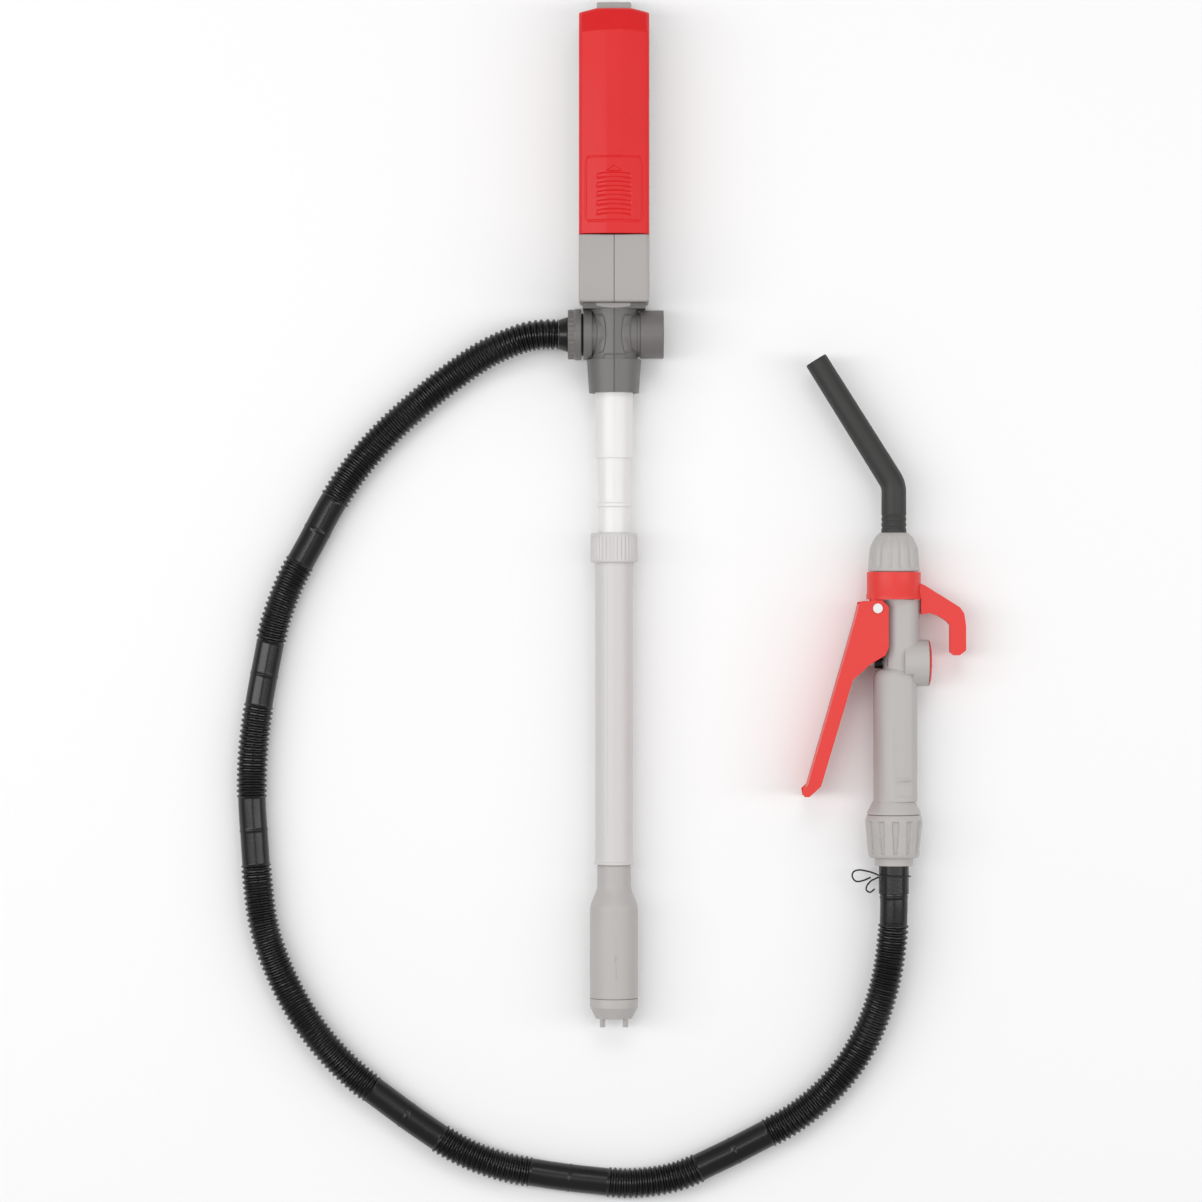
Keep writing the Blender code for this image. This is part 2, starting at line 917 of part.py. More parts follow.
def outlet_nut():
    at = (0, tee_y, column_height)
    ring(
        "outlet_seal", 0.0126, spigot_radius + 0.00015,
        -flange_face - touch_gap / 2 - seal_thickness, -flange_face - touch_gap / 2,
        at, ALONG_X, seal_rubber,
    )
    bore = spigot_radius + thread_gap
    turned(
        "hose_nut",
        [
            (outlet_nut_radius, -nut_face),
            (outlet_nut_radius, -nut_end),
            (cuff_neck + turn_gap, -nut_end),
            (cuff_neck + turn_gap, -nut_end + nut_end_wall),
            (bore, -nut_end + nut_end_wall),
            (bore, -nut_face),
        ],
        at, ALONG_X, case_grey,
    )
    turned(
        "outlet_cuff",
        [
            (cuff_bore, -spigot_end - touch_gap),
            (spigot_radius, -spigot_end - touch_gap),
            (spigot_radius, -nut_end + nut_end_wall + touch_gap),
            (cuff_neck, -nut_end + nut_end_wall + touch_gap),
            (cuff_neck, -cuff_start),
            (spigot_radius, -cuff_start),
            (cuff_radius - 0.0001, -cuff_end),
            (cuff_bore, -cuff_end),
        ],
        at, ALONG_X, black_rubber,
    )


cuff_neck = 0.0086


def port_cap():
    at = (0, tee_y, column_height)
    low = cross_barrel_right + touch_gap
    high = low + port_cap_length
    bore = spigot_radius + thread_gap
    turned(
        "port_cap",
        [
            (0, high),
            (port_cap_radius - 0.0004, high),
            (port_cap_radius, high - 0.0004),
            (port_cap_radius, low),
            (bore, low),
            (bore, high - 0.0022),
            (0, high - 0.0022),
        ],
        at, ALONG_X, case_grey,
    )
    rod(
        "port_gasket", spigot_radius - 0.0002, port_end + touch_gap,
        high - 0.0022 - touch_gap, at, ALONG_X, seal_rubber,
    )


# ---- Suction column -----------------------------------------------------


def upper_tube():
    ring(
        "upper_tube", upper_tube_radius, upper_tube_bore, upper_tube_end,
        socket_top - 0.0012, column_axis, ALONG_Y, white_plastic,
    )


def inner_tube():
    groove = inner_tube_radius - 0.0006
    groove_top = inner_tube_end + 0.0062
    groove_bottom = groove_top - tube_seal_length
    turned(
        "inner_tube",
        [
            (mid_tube_radius, upper_tube_end + upper_tube_insertion),
            (mid_tube_radius, bead_top),
            (mid_tube_radius + bead_rise, bead_top - 0.0003),
            (mid_tube_radius + bead_rise, bead_bottom + 0.0003),
            (inner_tube_radius, bead_bottom),
            (inner_tube_radius, groove_top),
            (groove, groove_top),
            (groove, groove_bottom),
            (inner_tube_radius, groove_bottom),
            (inner_tube_radius, inner_tube_end),
            (inner_tube_bore, inner_tube_end),
            (inner_tube_bore, upper_tube_end + upper_tube_insertion),
        ],
        column_axis, ALONG_Y, white_plastic,
    )
    ring(
        "tube_seal", outer_tube_bore - 0.00005, groove + 0.00015,
        groove_bottom + 0.0001, groove_top - 0.0001, column_axis, ALONG_Y,
        seal_rubber,
    )


def lock_nut():
    mouth = inner_tube_radius + lock_nut_mouth_gap
    bore = outer_tube_radius + thread_gap + 0.0002
    turned(
        "lock_nut",
        [
            (lock_nut_radius - 0.0006, lock_nut_top),
            (lock_nut_radius, lock_nut_top - 0.0008),
            (lock_nut_radius, lock_nut_bottom + 0.0006),
            (lock_nut_radius - 0.0005, lock_nut_bottom),
            (bore, lock_nut_bottom),
            (bore, outer_tube_top + 0.0028),
            (mouth, outer_tube_top + 0.0060),
            (mouth, lock_nut_top),
        ],
        column_axis, ALONG_Y, light_grey,
    )
    turned(
        "lock_collet",
        [
            (mouth - 0.0001, outer_tube_top + 0.0054),
            (bore - 0.0004, outer_tube_top + 0.0023),
            (bore - 0.0004, outer_tube_top + touch_gap),
            (inner_tube_radius + 0.00015, outer_tube_top + touch_gap),
            (inner_tube_radius + 0.00015, outer_tube_top + 0.0054),
        ],
        column_axis, ALONG_Y, white_plastic,
    )


def outer_tube():
    turned(
        "outer_tube",
        [
            (outer_tube_radius, outer_tube_top),
            (outer_tube_radius, outer_tube_end + outer_lip_length),
            (outer_tube_radius + outer_lip_rise, outer_tube_end + outer_lip_length * 0.6),
            (outer_tube_radius + outer_lip_rise, outer_tube_end + 0.0003),
            (outer_tube_radius, outer_tube_end),
            (outer_tube_bore, outer_tube_end),
            (outer_tube_bore, outer_tube_top),
        ],
        column_axis, ALONG_Y, light_grey,
    )


def foot():
    spigot = outer_tube_bore - 0.00025
    neck_bore = foot_neck_radius - 0.0019
    curve = []
    steps = 5
    for i in range(steps + 1):
        share = i / steps
        blend = share * share * (3 - 2 * share)
        radius = foot_neck_radius + (foot_radius - foot_neck_radius) * blend
        curve.append((radius, shoulder_top - foot_shoulder_length * share))
    turned(
        "foot_body",
        [
            (spigot, foot_top + foot_spigot_length),
            (spigot, foot_top),
            (foot_neck_radius, foot_top),
            *curve,
            (foot_radius, foot_end),
            (foot_bore, foot_end),
            (foot_bore, shoulder_bottom + 0.0004),
            (neck_bore, shoulder_top),
            (neck_bore, foot_top + foot_spigot_length),
        ],
        column_axis, ALONG_Y, light_grey,
    )
    seat = foot_bore - touch_gap
    cap = turned(
        "foot_cap",
        [
            (seat, cap_top + 0.0032),
            (seat, cap_top),
            (foot_radius, cap_top),
            (foot_radius, cap_cone_top),
            (cap_mouth_radius + 0.0012, cap_end),
            (cap_mouth_radius - 0.0012, cap_end),
            (seat - 0.0016, cap_cone_top),
            (seat - 0.0016, cap_top + 0.0032),
        ],
        column_axis, ALONG_Y, light_grey,
    )
    for i in range(4):
        angle = math.radians(45 + 90 * i)
        x = cap_mouth_radius * math.cos(angle)
        z = column_height + cap_mouth_radius * math.sin(angle)
        low = cap_end - cap_foot_length
        tab = box(
            f"cap_foot_{i}", (-0.0012, low, -0.0011), (0.0012, cap_end + 0.0030, 0.0011)
        )
        tab.rotation_euler = (0, -angle, 0)
        tab.location = (x, (low + cap_end + 0.0030) / 2, z)
        join(cap, tab)


def strainer():
    radius = foot_bore - touch_gap - 0.0016 - touch_gap
    disc = rod(
        "intake_strainer", radius, cap_cone_top + 0.0012, cap_cone_top + 0.0026,
        column_axis, ALONG_Y, charcoal,
    )
    for count, reach in ((1, 0), (6, radius * 0.52)):
        for i in range(count):
            angle = 2 * math.pi * i / count
            x = reach * math.cos(angle)
            z = column_height + reach * math.sin(angle)
            hole = rod(
                f"strainer_hole_{count}_{i}", 0.0018, cap_cone_top,
                cap_cone_top + 0.004, (x, 0, z), ALONG_Y, steps=8,
            )
            cut(disc, hole)


def motor_unit():
    inner = capsule_radius - capsule_wall
    capsule = turned(
        "motor_capsule",
        [
            (lead_radius + touch_gap, capsule_top),
            (0.0040, capsule_top),
            (capsule_radius, capsule_top - 0.0040),
            (capsule_radius, capsule_end),
            (inner, capsule_end),
            (inner, capsule_top - 0.0046),
            (0.0036, capsule_top - 0.0014),
            (lead_radius + touch_gap, capsule_top - 0.0014),
        ],
        column_axis, ALONG_Y, case_grey,
    )
    fin_reach = foot_bore - touch_gap
    for i in range(3):
        angle = math.radians(90 + 120 * i)
        middle = (capsule_radius + fin_reach) / 2 - 0.0003
        half = (fin_reach - capsule_radius) / 2 + 0.0003
        low = capsule_end + 0.0040
        high = capsule_top - 0.0070
        fin = box(f"capsule_fin_{i}", (-half, low, -0.0007), (half, high, 0.0007))
        fin.rotation_euler = (0, -angle, 0)
        fin.location = (
            middle * math.cos(angle),
            (low + high) / 2,
            column_height + middle * math.sin(angle),
        )
        join(capsule, fin)
    lid_top = capsule_end + 0.0028
    turned(
        "capsule_lid",
        [
            (0.0034, lid_top),
            (inner - 0.0002, lid_top),
            (inner - 0.0002, capsule_end),
            (shaft_radius + 0.0003, capsule_end),
            (shaft_radius + 0.0003, capsule_end + 0.0010),
            (0.0034, capsule_end + 0.0010),
        ],
        column_axis, ALONG_Y, case_grey,
    )
    ring(
        "shaft_seal", 0.0032, shaft_radius + 0.0001, capsule_end + 0.0012, lid_top,
        column_axis, ALONG_Y, seal_rubber, 16,
    )
    motor_end = lid_top + touch_gap
    motor_top = motor_end + motor_length
    turned(
        "motor",
        [
            (0, motor_top),
            (motor_radius, motor_top),
            (motor_radius, motor_end),
            (shaft_radius + 0.0001, motor_end),
            (shaft_radius + 0.0001, motor_end + 0.0090),
            (0, motor_end + 0.0090),
        ],
        column_axis, ALONG_Y, cell_steel,
    )
    hub_top = capsule_end - 0.0020
    hub_end = hub_top - impeller_length
    rod(
        "motor_shaft", shaft_radius, hub_end + 0.0010, motor_end + 0.0086,
        column_axis, ALONG_Y, steel, 12,
    )
    hub = turned(
        "impeller",
        [
            (shaft_radius + 0.00015, hub_top),
            (0.0032, hub_top),
            (0.0032, hub_end),
            (0, hub_end),
            (0, hub_end + 0.0007),
            (shaft_radius + 0.00015, hub_end + 0.0007),
        ],
        column_axis, ALONG_Y, white_plastic, 16,
    )
    for i in range(5):
        angle = 2 * math.pi * i / 5
        middle = (impeller_radius + 0.0024) / 2
        half = (impeller_radius - 0.0024) / 2
        blade = box(
            f"impeller_blade_{i}",
            (-half, hub_end + 0.0008, -0.0005),
            (half, hub_top - 0.0004, 0.0005),
        )
        blade.rotation_euler = (0, -angle, 0)
        blade.location = (
            middle * math.cos(angle),
            (hub_end + hub_top) / 2 + 0.0002,
            column_height + middle * math.sin(angle),
        )
        join(hub, blade)


# ---- Nozzle -------------------------------------------------------------


def at_nozzle(offset):
    return (nozzle_x + offset, 0, nozzle_height)


def nozzle_body():
    spigot = collar_bore - touch_gap
    body = turned(
        "nozzle_body",
        [
            (0, spigot_top),
            (spigot, spigot_top),
            (spigot, body_top),
            (0, body_top),
        ],
        nozzle_axis, ALONG_Y, light_grey,
    )
    upper = rod(
        "upper_body", upper_body_radius, shoulder_y - 0.002, body_top + 0.00002,
        at_nozzle(upper_body_offset), ALONG_Y,
    )
    lower = turned(
        "lower_body",
        [
            (0, shoulder_y),
            (lower_body_radius - 0.0030, shoulder_y),
            (lower_body_radius - 0.0010, shoulder_y - 0.0014),
            (lower_body_radius, shoulder_y - 0.0044),
            (lower_body_radius, flare_y),
            (0, flare_y),
        ],
        at_nozzle(lower_body_offset), ALONG_Y,
    )
    flare = turned(
        "flare",
        [
            (0, flare_y + 0.0002),
            (lower_body_radius - 0.0006, flare_y + 0.0002),
            (flare_radius, body_end + 0.0012),
            (flare_radius, body_end),
            (nozzle_thread_radius, body_end),
            (nozzle_thread_radius, thread_end),
            (0, thread_end),
        ],
        nozzle_axis, ALONG_Y,
    )
    boss = rod(
        "side_boss", boss_radius, boss_start, boss_end,
        (nozzle_x, valve_y, nozzle_height), ALONG_X,
    )
    bore = rod(
        "nozzle_bore", nozzle_bore, thread_end - 0.002, spigot_top + 0.002,
        at_nozzle(nozzle_bore_offset), ALONG_Y,
    )
    cross_bore = rod(
        "valve_bore", valve_bore, valve_bore_start, boss_end + 0.002,
        (nozzle_x, valve_y, nozzle_height), ALONG_X,
    )
    stem_hole = rod(
        "stem_hole", stem_radius + 0.0003, -0.020, valve_bore_start + 0.001,
        (nozzle_x, valve_y, nozzle_height), ALONG_X, steps=16,
    )
    join(body, upper, lower, flare, boss)
    cut(body, bore, cross_bore, stem_hole, *grip_flats())


def grip_flats():
    """Two flats along the front of the lower body, turned a little to the right."""
    tilt = math.radians(grip_flat_tilt)
    lean = Vector((math.sin(tilt), 0, math.cos(tilt)))
    centre = Vector((nozzle_x + lower_body_offset, 0, nozzle_height))
    for name, half_width, top, bottom in (
        ("long", grip_flat_width / 2, shoulder_y - 0.0030, flare_y + 0.0140),
        ("short", grip_flat_width * 0.37, flare_y + 0.0124, flare_y + 0.0030),
    ):
        half = lower_body_radius * math.sin(math.acos(1 - grip_flat_depth / lower_body_radius))
        block = box(
            f"grip_flat_{name}",
            (-max(half_width, half), bottom, 0),
            (max(half_width, half), top, 0.010),
        )
        block.rotation_euler = (0, tilt, 0)
        block.location = centre + lean * (lower_body_radius - grip_flat_depth + 0.005)
        block.location.y = (top + bottom) / 2
        yield block


valve_bore_start = nozzle_bore_offset - nozzle_bore - 0.0008
stem_radius = 0.0020
gland_left = upper_body_offset - upper_body_radius


def valve():
    """A spring holds the spool across the bore until the stem pushes it aside."""
    at = (nozzle_x, valve_y, nozzle_height)
    spool_left = valve_bore_start + 0.0004
    spool_right = nozzle_bore_offset + nozzle_bore + 0.0009
    spool_radius = valve_bore - 0.0002
    groove_right = spool_right - 0.0010
    groove_left = groove_right - 0.0016
    turned(
        "valve_spool",
        [
            (0, spool_right),
            (spool_radius, spool_right),
            (spool_radius, groove_right),
            (spool_radius - 0.0012, groove_right),
            (spool_radius - 0.0012, groove_left),
            (spool_radius, groove_left),
            (spool_radius, spool_left),
            (0, spool_left),
        ],
        at, ALONG_X, white_plastic,
    )
    ring(
        "spool_seal", valve_bore - 0.00008, spool_radius - 0.0010,
        groove_left + 0.0001, groove_right - 0.0001, at, ALONG_X, seal_rubber,
    )
    stem_left = web_face_at_valve + 0.0004 - nozzle_x
    rod(
        "valve_stem", stem_radius, stem_left, spool_left - touch_gap / 2,
        at, ALONG_X, light_grey, 16,
    )
    ring(
        "stem_gland", 0.0034, stem_radius + 0.0003, gland_left - 0.0050,
        gland_left - touch_gap, at, ALONG_X, black_rubber, 16,
    )
    wire = 0.0004
    cap_face = boss_end - 0.0016
    low = spool_right + wire + touch_gap
    high = cap_face - wire - touch_gap
    turns = 4
    count = 9 * turns
    points = []
    for i in range(count + 1):
        angle = 2 * math.pi * turns * i / count
        y = valve_y + 0.0050 * math.cos(angle)
        z = nozzle_height + 0.0050 * math.sin(angle)
        points.append((nozzle_x + low + (high - low) * i / count, y, z))
    tube("valve_spring", points, wire, steel, 0)
    turned(
        "boss_cap",
        [
            (0, boss_end + boss_cap_thickness),
            (boss_radius * 0.55, boss_end + boss_cap_thickness - 0.0004),
            (boss_radius - 0.0012, boss_end + 0.0012),
            (boss_radius - 0.0002, boss_end + touch_gap),
            (valve_bore - 0.0003, boss_end + touch_gap),
            (valve_bore - 0.0003, cap_face),
            (0, cap_face),
        ],
        at, ALONG_X, red_plastic,
    )


def hook_collar():
    collar = turned(
        "hook_collar",
        [
            (collar_radius, collar_top),
            (collar_radius, collar_bottom + 0.0038),
            (collar_radius + collar_lip, collar_bottom + 0.0026),
            (collar_radius + collar_lip, collar_bottom),
            (collar_bore, collar_bottom),
            (collar_bore, collar_top),
        ],
        nozzle_axis, ALONG_Y, red_plastic,
    )
    root = nozzle_x + collar_radius - 0.0022
    far = nozzle_x + hook_reach
    inner = far - hook_leg
    beside_body = nozzle_x + upper_body_offset + upper_body_radius + 2 * touch_gap
    outline = [
        (root, collar_top - 0.0064),
        (root + 0.0040, collar_top - 0.0078),
        (far - 0.0036, collar_top - 0.0212),
        (far - 0.0011, collar_top - 0.0249),
        (far, collar_top - 0.0320),
        (far, collar_top - 0.0470),
        (far - 0.0038, collar_top - 0.0499),
        (inner + 0.0022, collar_top - 0.0499),
        (inner, collar_top - 0.0480),
        (inner, collar_top - 0.0320),
        (inner - 0.0018, collar_top - 0.0296),
        (inner - 0.0075, collar_top - 0.0260),
        (inner - 0.0120, collar_top - 0.0246),
        (beside_body, collar_top - 0.0254),
        (beside_body, collar_bottom + 0.0004),
        (root, collar_bottom + 0.0004),
    ]
    low = nozzle_height - hook_thickness / 2
    hook = plate("hook", outline, low, low + hook_thickness)
    join(collar, hook)
    bore = rod(
        "collar_bore", collar_bore, body_top - touch_gap, collar_top + 0.002,
        nozzle_axis, ALONG_Y,
    )
    for side in (-1, 1):
        near = trigger_inside - touch_gap - ear_thickness
        far_side = trigger_inside - touch_gap
        low_z, high_z = sorted((nozzle_height + near * side, nozzle_height + far_side * side))
        points = [
            (pivot_x + ear_radius, collar_bottom + 0.0033),
            (pivot_x - ear_radius, collar_bottom + 0.0033),
            *arc((pivot_x, pivot_y), ear_radius, 180, 360, 8),
        ]
        ear = plate(f"collar_ear_{side}", points, low_z, high_z)
        pin_hole = rod(
            f"ear_hole_{side}", pin_radius + 0.0002, low_z - 0.002, high_z + 0.002,
            (pivot_x, pivot_y, 0), (0, 0, 0), steps=16,
        )
        cut(ear, pin_hole)
        join(collar, ear)
    cut(collar, bore)


hook_reach = 0.0430
hook_leg = 0.0096


def trigger_outline():
    """Side plate of the trigger, measured from its pivot."""
    return [
        (-0.0068, 0.0044),
        (-0.0107, 0.0038),
        (-0.0128, -0.0052),
        (-0.0140, -0.0096),
        (blade_tip_x - 0.0005, blade_tip_y),
        (blade_tip_x - 0.0034, blade_tip_y - 0.0026),
        (blade_tip_x - 0.0026, blade_tip_y - 0.0070),
        (blade_tip_x + 0.0004, blade_tip_y - 0.0070),
        (blade_tip_x + 0.0074, blade_tip_y - 0.0006),
        (-0.0149, -0.0429),
        (-0.0044, -0.0334),
        (0.0046, -0.0280),
        (0.0066, -0.0232),
        (0.0066, 0.0010),
        (0.0030, 0.0044),
    ]


blade_tip_x = -0.0412
blade_tip_y = -0.1057


def web_outline():
    """The web that closes the trigger along its outer edge."""
    start = Vector((-0.0109, 0.0026))
    knee = Vector((-0.0140, -0.0096))
    tip = Vector((blade_tip_x - 0.0005, blade_tip_y))
    along = (tip - knee).normalized()
    inward = Vector((-along.y, along.x)) * trigger_web
    across = Vector((trigger_web, -0.0004))
    nose = Vector((blade_tip_x - 0.0026, blade_tip_y - 0.0050))
    return [
        tuple(start), tuple(knee), tuple(tip), tuple(nose + Vector((0, 0.0010))),
        tuple(nose + Vector((0.0022, 0.0002))), tuple(tip + inward),
        tuple(knee + inward), tuple(start + across),
    ]


def web_face(height):
    """How far left of the pivot the web's inner face is, at a height below it."""
    _, knee, tip, _, _, tip_in, knee_in, _ = web_outline()
    share = (height - knee_in[1]) / (tip_in[1] - knee_in[1])
    return knee_in[0] + (tip_in[0] - knee_in[0]) * share


web_face_at_valve = pivot_x + web_face(valve_y + stem_radius - pivot_y)


def trigger():
    def moved(points):
        return [(pivot_x + x, pivot_y + y) for x, y in points]

    low = nozzle_height - trigger_outside
    high = nozzle_height + trigger_outside
    web = plate("trigger", moved(web_outline()), low, high, colour=red_plastic)
    for side in (-1, 1):
        ends = sorted((trigger_inside * side, trigger_outside * side))
        cheek = plate(
            f"trigger_cheek_{side}", moved(trigger_outline()),
            nozzle_height + ends[0], nozzle_height + ends[1],
        )
        join(web, cheek)
    pin_hole = rod(
        "trigger_hole", pin_radius + 0.0002, -0.02, 0.05, (pivot_x, pivot_y, 0),
        (0, 0, 0), steps=16,
    )
    cut(web, pin_hole)


def pivot_pin():
    reach = trigger_outside + touch_gap
    turned(
        "pivot_pin",
        [
            (0, reach + 0.0010),
            (pin_head_radius, reach + 0.0008),
            (pin_head_radius, reach),
            (pin_radius, reach),
            (pin_radius, -reach),
            (pin_head_radius, -reach),
            (pin_head_radius, -reach - 0.0008),
            (0, -reach - 0.0010),
        ],
        (pivot_x, pivot_y, nozzle_height), (0, 0, 0), white_plastic, 16,
    )


def spout_route():
    """Up the nozzle's axis, round the bend and out along the slanted part."""
    base = Vector((nozzle_x, spigot_top + 0.0022, nozzle_height))
    corner = Vector((nozzle_x, collar_top + 0.0120 + spout_straight, nozzle_height))
    tip = corner + Vector((-spout_reach_x, spout_reach_y, 0))
    slant = (tip - corner).normalized()
    turn = math.acos(slant.y)
    run = spout_bend_radius * math.tan(turn / 2)
    centre = corner - Vector((spout_bend_radius, run, 0))
    points = [base, (base + corner) / 2]
    steps = 5
    for i in range(steps + 1):
        angle = turn * i / steps
        x = centre.x + spout_bend_radius * math.cos(angle)
        y = centre.y + spout_bend_radius * math.sin(angle)
        points.append(Vector((x, y, nozzle_height)))
    points.append((points[-1] + tip) / 2)
    points.append(tip)
    return points


def spout():
    points = spout_route()
    length = sum((b - a).length for a, b in zip(points, points[1:]))
    travelled = 0.0
    scales = []
    for i, point in enumerate(points):
        if i:
            travelled += (point - points[i - 1]).length
        share = travelled / length
        scales.append(1 + (spout_tip_radius / spout_base_radius - 1) * share)
    body = tube("spout", points, spout_base_radius, charcoal, 4, scales)
    first = points[0] + Vector((0, -0.004, 0))
    last = points[-1] + (points[-1] - points[-2]).normalized() * 0.004
    bore = tube(
        "spout_bore", [first, *points[1:-1], last], spout_bore, None, 4
    )
    flange = rod(
        "spout_flange", spout_flange_radius, points[0].y, points[0].y + 0.0018,
        nozzle_axis, ALONG_Y,
    )
    join(body, flange)
    cut(body, bore)
    ring(
        "spout_seal", spout_flange_radius - 0.0002, nozzle_bore + 0.0018,
        spigot_top + touch_gap, points[0].y - touch_gap, nozzle_axis, ALONG_Y,
        seal_rubber,
    )


def spout_nut():
    spigot = collar_bore - touch_gap
    bore = spigot + thread_gap + 0.0001
    low = collar_top + touch_gap
    top = collar_top + spout_nut_rise
    inner_top = spigot_top + 0.0022 + 0.0018 + touch_gap
    mouth = spout_base_radius + 0.0002
    turned(
        "spout_nut",
        [
            (mouth + 0.0007, top),
            (mouth + 0.0028, top - 0.0026),
            (spout_nut_radius - 0.0022, top - 0.0064),
            (spout_nut_radius - 0.0012, top - 0.0094),
            (spout_nut_radius, low + 0.0006),
            (spout_nut_radius, low),
            (bore, low),
            (bore, inner_top),
            (mouth, inner_top + 0.0012),
            (mouth, top),
        ],
        nozzle_axis, ALONG_Y, light_grey,
    )


def hose_end():
    bore = nozzle_thread_radius + thread_gap
    ferrule_hole = ferrule_radius + turn_gap
    end_wall = nozzle_nut_bottom + 0.0018
    turned(
        "nozzle_nut",
        [
            (nozzle_nut_radius - 0.0008, nozzle_nut_top),
            (nozzle_nut_radius, nozzle_nut_top - 0.0036),
            (nozzle_nut_end_radius, nozzle_nut_bottom + 0.0006),
            (nozzle_nut_end_radius - 0.0006, nozzle_nut_bottom),
            (ferrule_hole, nozzle_nut_bottom),
            (ferrule_hole, end_wall),
            (bore, end_wall),
            (bore, nozzle_nut_top),
        ],
        nozzle_axis, ALONG_Y, light_grey,
    )
    flange_top = thread_end - touch_gap
    flange_bottom = end_wall + touch_gap
    inside = cuff_radius + 0.0002
    turned(
        "nozzle_ferrule",
        [
            (nozzle_bore + 0.0020, flange_top),
            (nozzle_thread_radius - 0.0001, flange_top),
            (nozzle_thread_radius - 0.0001, flange_bottom),
            (ferrule_radius, flange_bottom),
            (ferrule_radius, ferrule_end),
            (inside, ferrule_end),
            (inside, flange_top - 0.0018),
            (nozzle_bore + 0.0020, flange_top - 0.0018),
        ],
        nozzle_axis, ALONG_Y, light_grey,
    )
    ring(
        "nozzle_cuff", cuff_radius, cuff_bore, nozzle_cuff_end,
        flange_top - 0.0018 - touch_gap, nozzle_axis, ALONG_Y, black_rubber,
    )


# ---- Hose and clip ------------------------------------------------------

# The hose's route on the surface, from the outlet to the nozzle
hose_points = [
    (-0.0560, -0.1070, 0.0150),
    (-0.0762, -0.1156, 0.0120),
    (-0.0973, -0.1296, 0.0100),
    (-0.1180, -0.1462, 0.0094),
    (-0.1376, -0.1642, 0.0094),
    (-0.1550, -0.1841, 0.0094),
    (-0.1695, -0.2058, 0.0094),
    (-0.1820, -0.2290, 0.0094),
    (-0.1945, -0.2524, 0.0094),
    (-0.2037, -0.2770, 0.0094),
    (-0.2092, -0.3028, 0.0094),
    (-0.2139, -0.3289, 0.0094),
    (-0.2171, -0.3550, 0.0094),
    (-0.2178, -0.3813, 0.0094),
    (-0.2163, -0.4076, 0.0094),
    (-0.2143, -0.4340, 0.0094),
    (-0.2105, -0.4601, 0.0094),
    (-0.2021, -0.4851, 0.0094),
    (-0.1902, -0.5086, 0.0094),
    (-0.1749, -0.5302, 0.0094),
    (-0.1566, -0.5492, 0.0094),
    (-0.1357, -0.5654, 0.0094),
    (-0.1143, -0.5809, 0.0094),
    (-0.0920, -0.5949, 0.0094),
    (-0.0675, -0.6043, 0.0094),
    (-0.0414, -0.6092, 0.0094),
    (-0.0151, -0.6126, 0.0094),
    (0.0110, -0.6145, 0.0094),
    (0.0370, -0.6107, 0.0094),
    (0.0612, -0.6003, 0.0094),
    (0.0849, -0.5884, 0.0094),
    (0.1079, -0.5757, 0.0094),
    (0.1282, -0.5591, 0.0096),
    (0.1447, -0.5387, 0.0106),
    (0.1563, -0.5152, 0.0126),
    (0.1636, -0.4900, 0.0150),
    (0.1670, -0.4660, 0.0167),
]


def smooth_route(points, step):
    """Evenly spaced points on a Catmull-Rom curve through the route."""
    ends = [points[0] * 2 - points[1], *points, points[-1] * 2 - points[-2]]
    fine = []
    for a, b, c, d in zip(ends, ends[1:], ends[2:], ends[3:]):
        for i in range(12):
            t = i / 12
            spot = b * 2 + (c - a) * t
            spot += (a * 2 - b * 5 + c * 4 - d) * t * t
            spot += (b * 3 - a - c * 3 + d) * t * t * t
            fine.append(spot / 2)
    fine.append(points[-1])
    total = sum((q - p).length for p, q in zip(fine, fine[1:]))
    count = round(total / step)
    chosen = [fine[0]]
    travelled = 0.0
    for p, q in zip(fine, fine[1:]):
        travelled += (q - p).length
        if travelled >= total * len(chosen) / count and len(chosen) < count:
            chosen.append(q)
    chosen.append(fine[-1])
    return chosen


def hose():
    start = Vector((-cuff_end - touch_gap, tee_y, column_height))
    finish = Vector((nozzle_x, nozzle_cuff_end - touch_gap, nozzle_height))
    leaving = start - Vector((0.0100, 0, 0))
    arriving = finish - Vector((0, 0.0100, 0))
    route = [start, leaving, *[Vector(p) for p in hose_points], arriving, finish]
    points = [start, *smooth_route(route[1:-1], 0.0195), finish]
    tube("hose", points, hose_radius, black_rubber, 2)


def wire_clip():
    """A wire turned once round the cuff, with a loop at each end."""
    y = ferrule_end - 0.0056
    radius = cuff_radius + clip_wire_radius + touch_gap
    left = nozzle_x - radius
    z = nozzle_height
    upper = [
        (left - 0.0040, y - 0.0014, z + 0.0016),
        (left - 0.0088, y - 0.0034, z + 0.0016),
        (left - 0.0128, y - 0.0038, z + 0.0016),
        (left - 0.0152, y - 0.0012, z + 0.0016),
        (left - 0.0146, y + 0.0018, z + 0.0016),
        (left - 0.0108, y + 0.0030, z + 0.0016),
        (left - 0.0050, y + 0.0020, z + 0.0016),
        (left - 0.0012, y + 0.0008, z + 0.0022),
    ]
    turn = []
    count = 16
    for i in range(count + 1):
        angle = math.radians(165 - 330 * i / count)
        turn.append((
            nozzle_x + radius * math.cos(angle),
            y - 0.0018 * i / count,
            z + radius * math.sin(angle),
        ))
    lower = [
        (left - 0.0010, y - 0.0026, z - 0.0026),
        (left - 0.0036, y - 0.0038, z - 0.0024),
        (left - 0.0060, y - 0.0066, z - 0.0024),
        (left - 0.0064, y - 0.0092, z - 0.0024),
        (left - 0.0042, y - 0.0108, z - 0.0024),
        (left - 0.0014, y - 0.0086, z - 0.0024),
    ]
    tube("wire_clip", [*upper, *turn, *lower], clip_wire_radius, black_wire, 0)


# ---- Build --------------------------------------------------------------

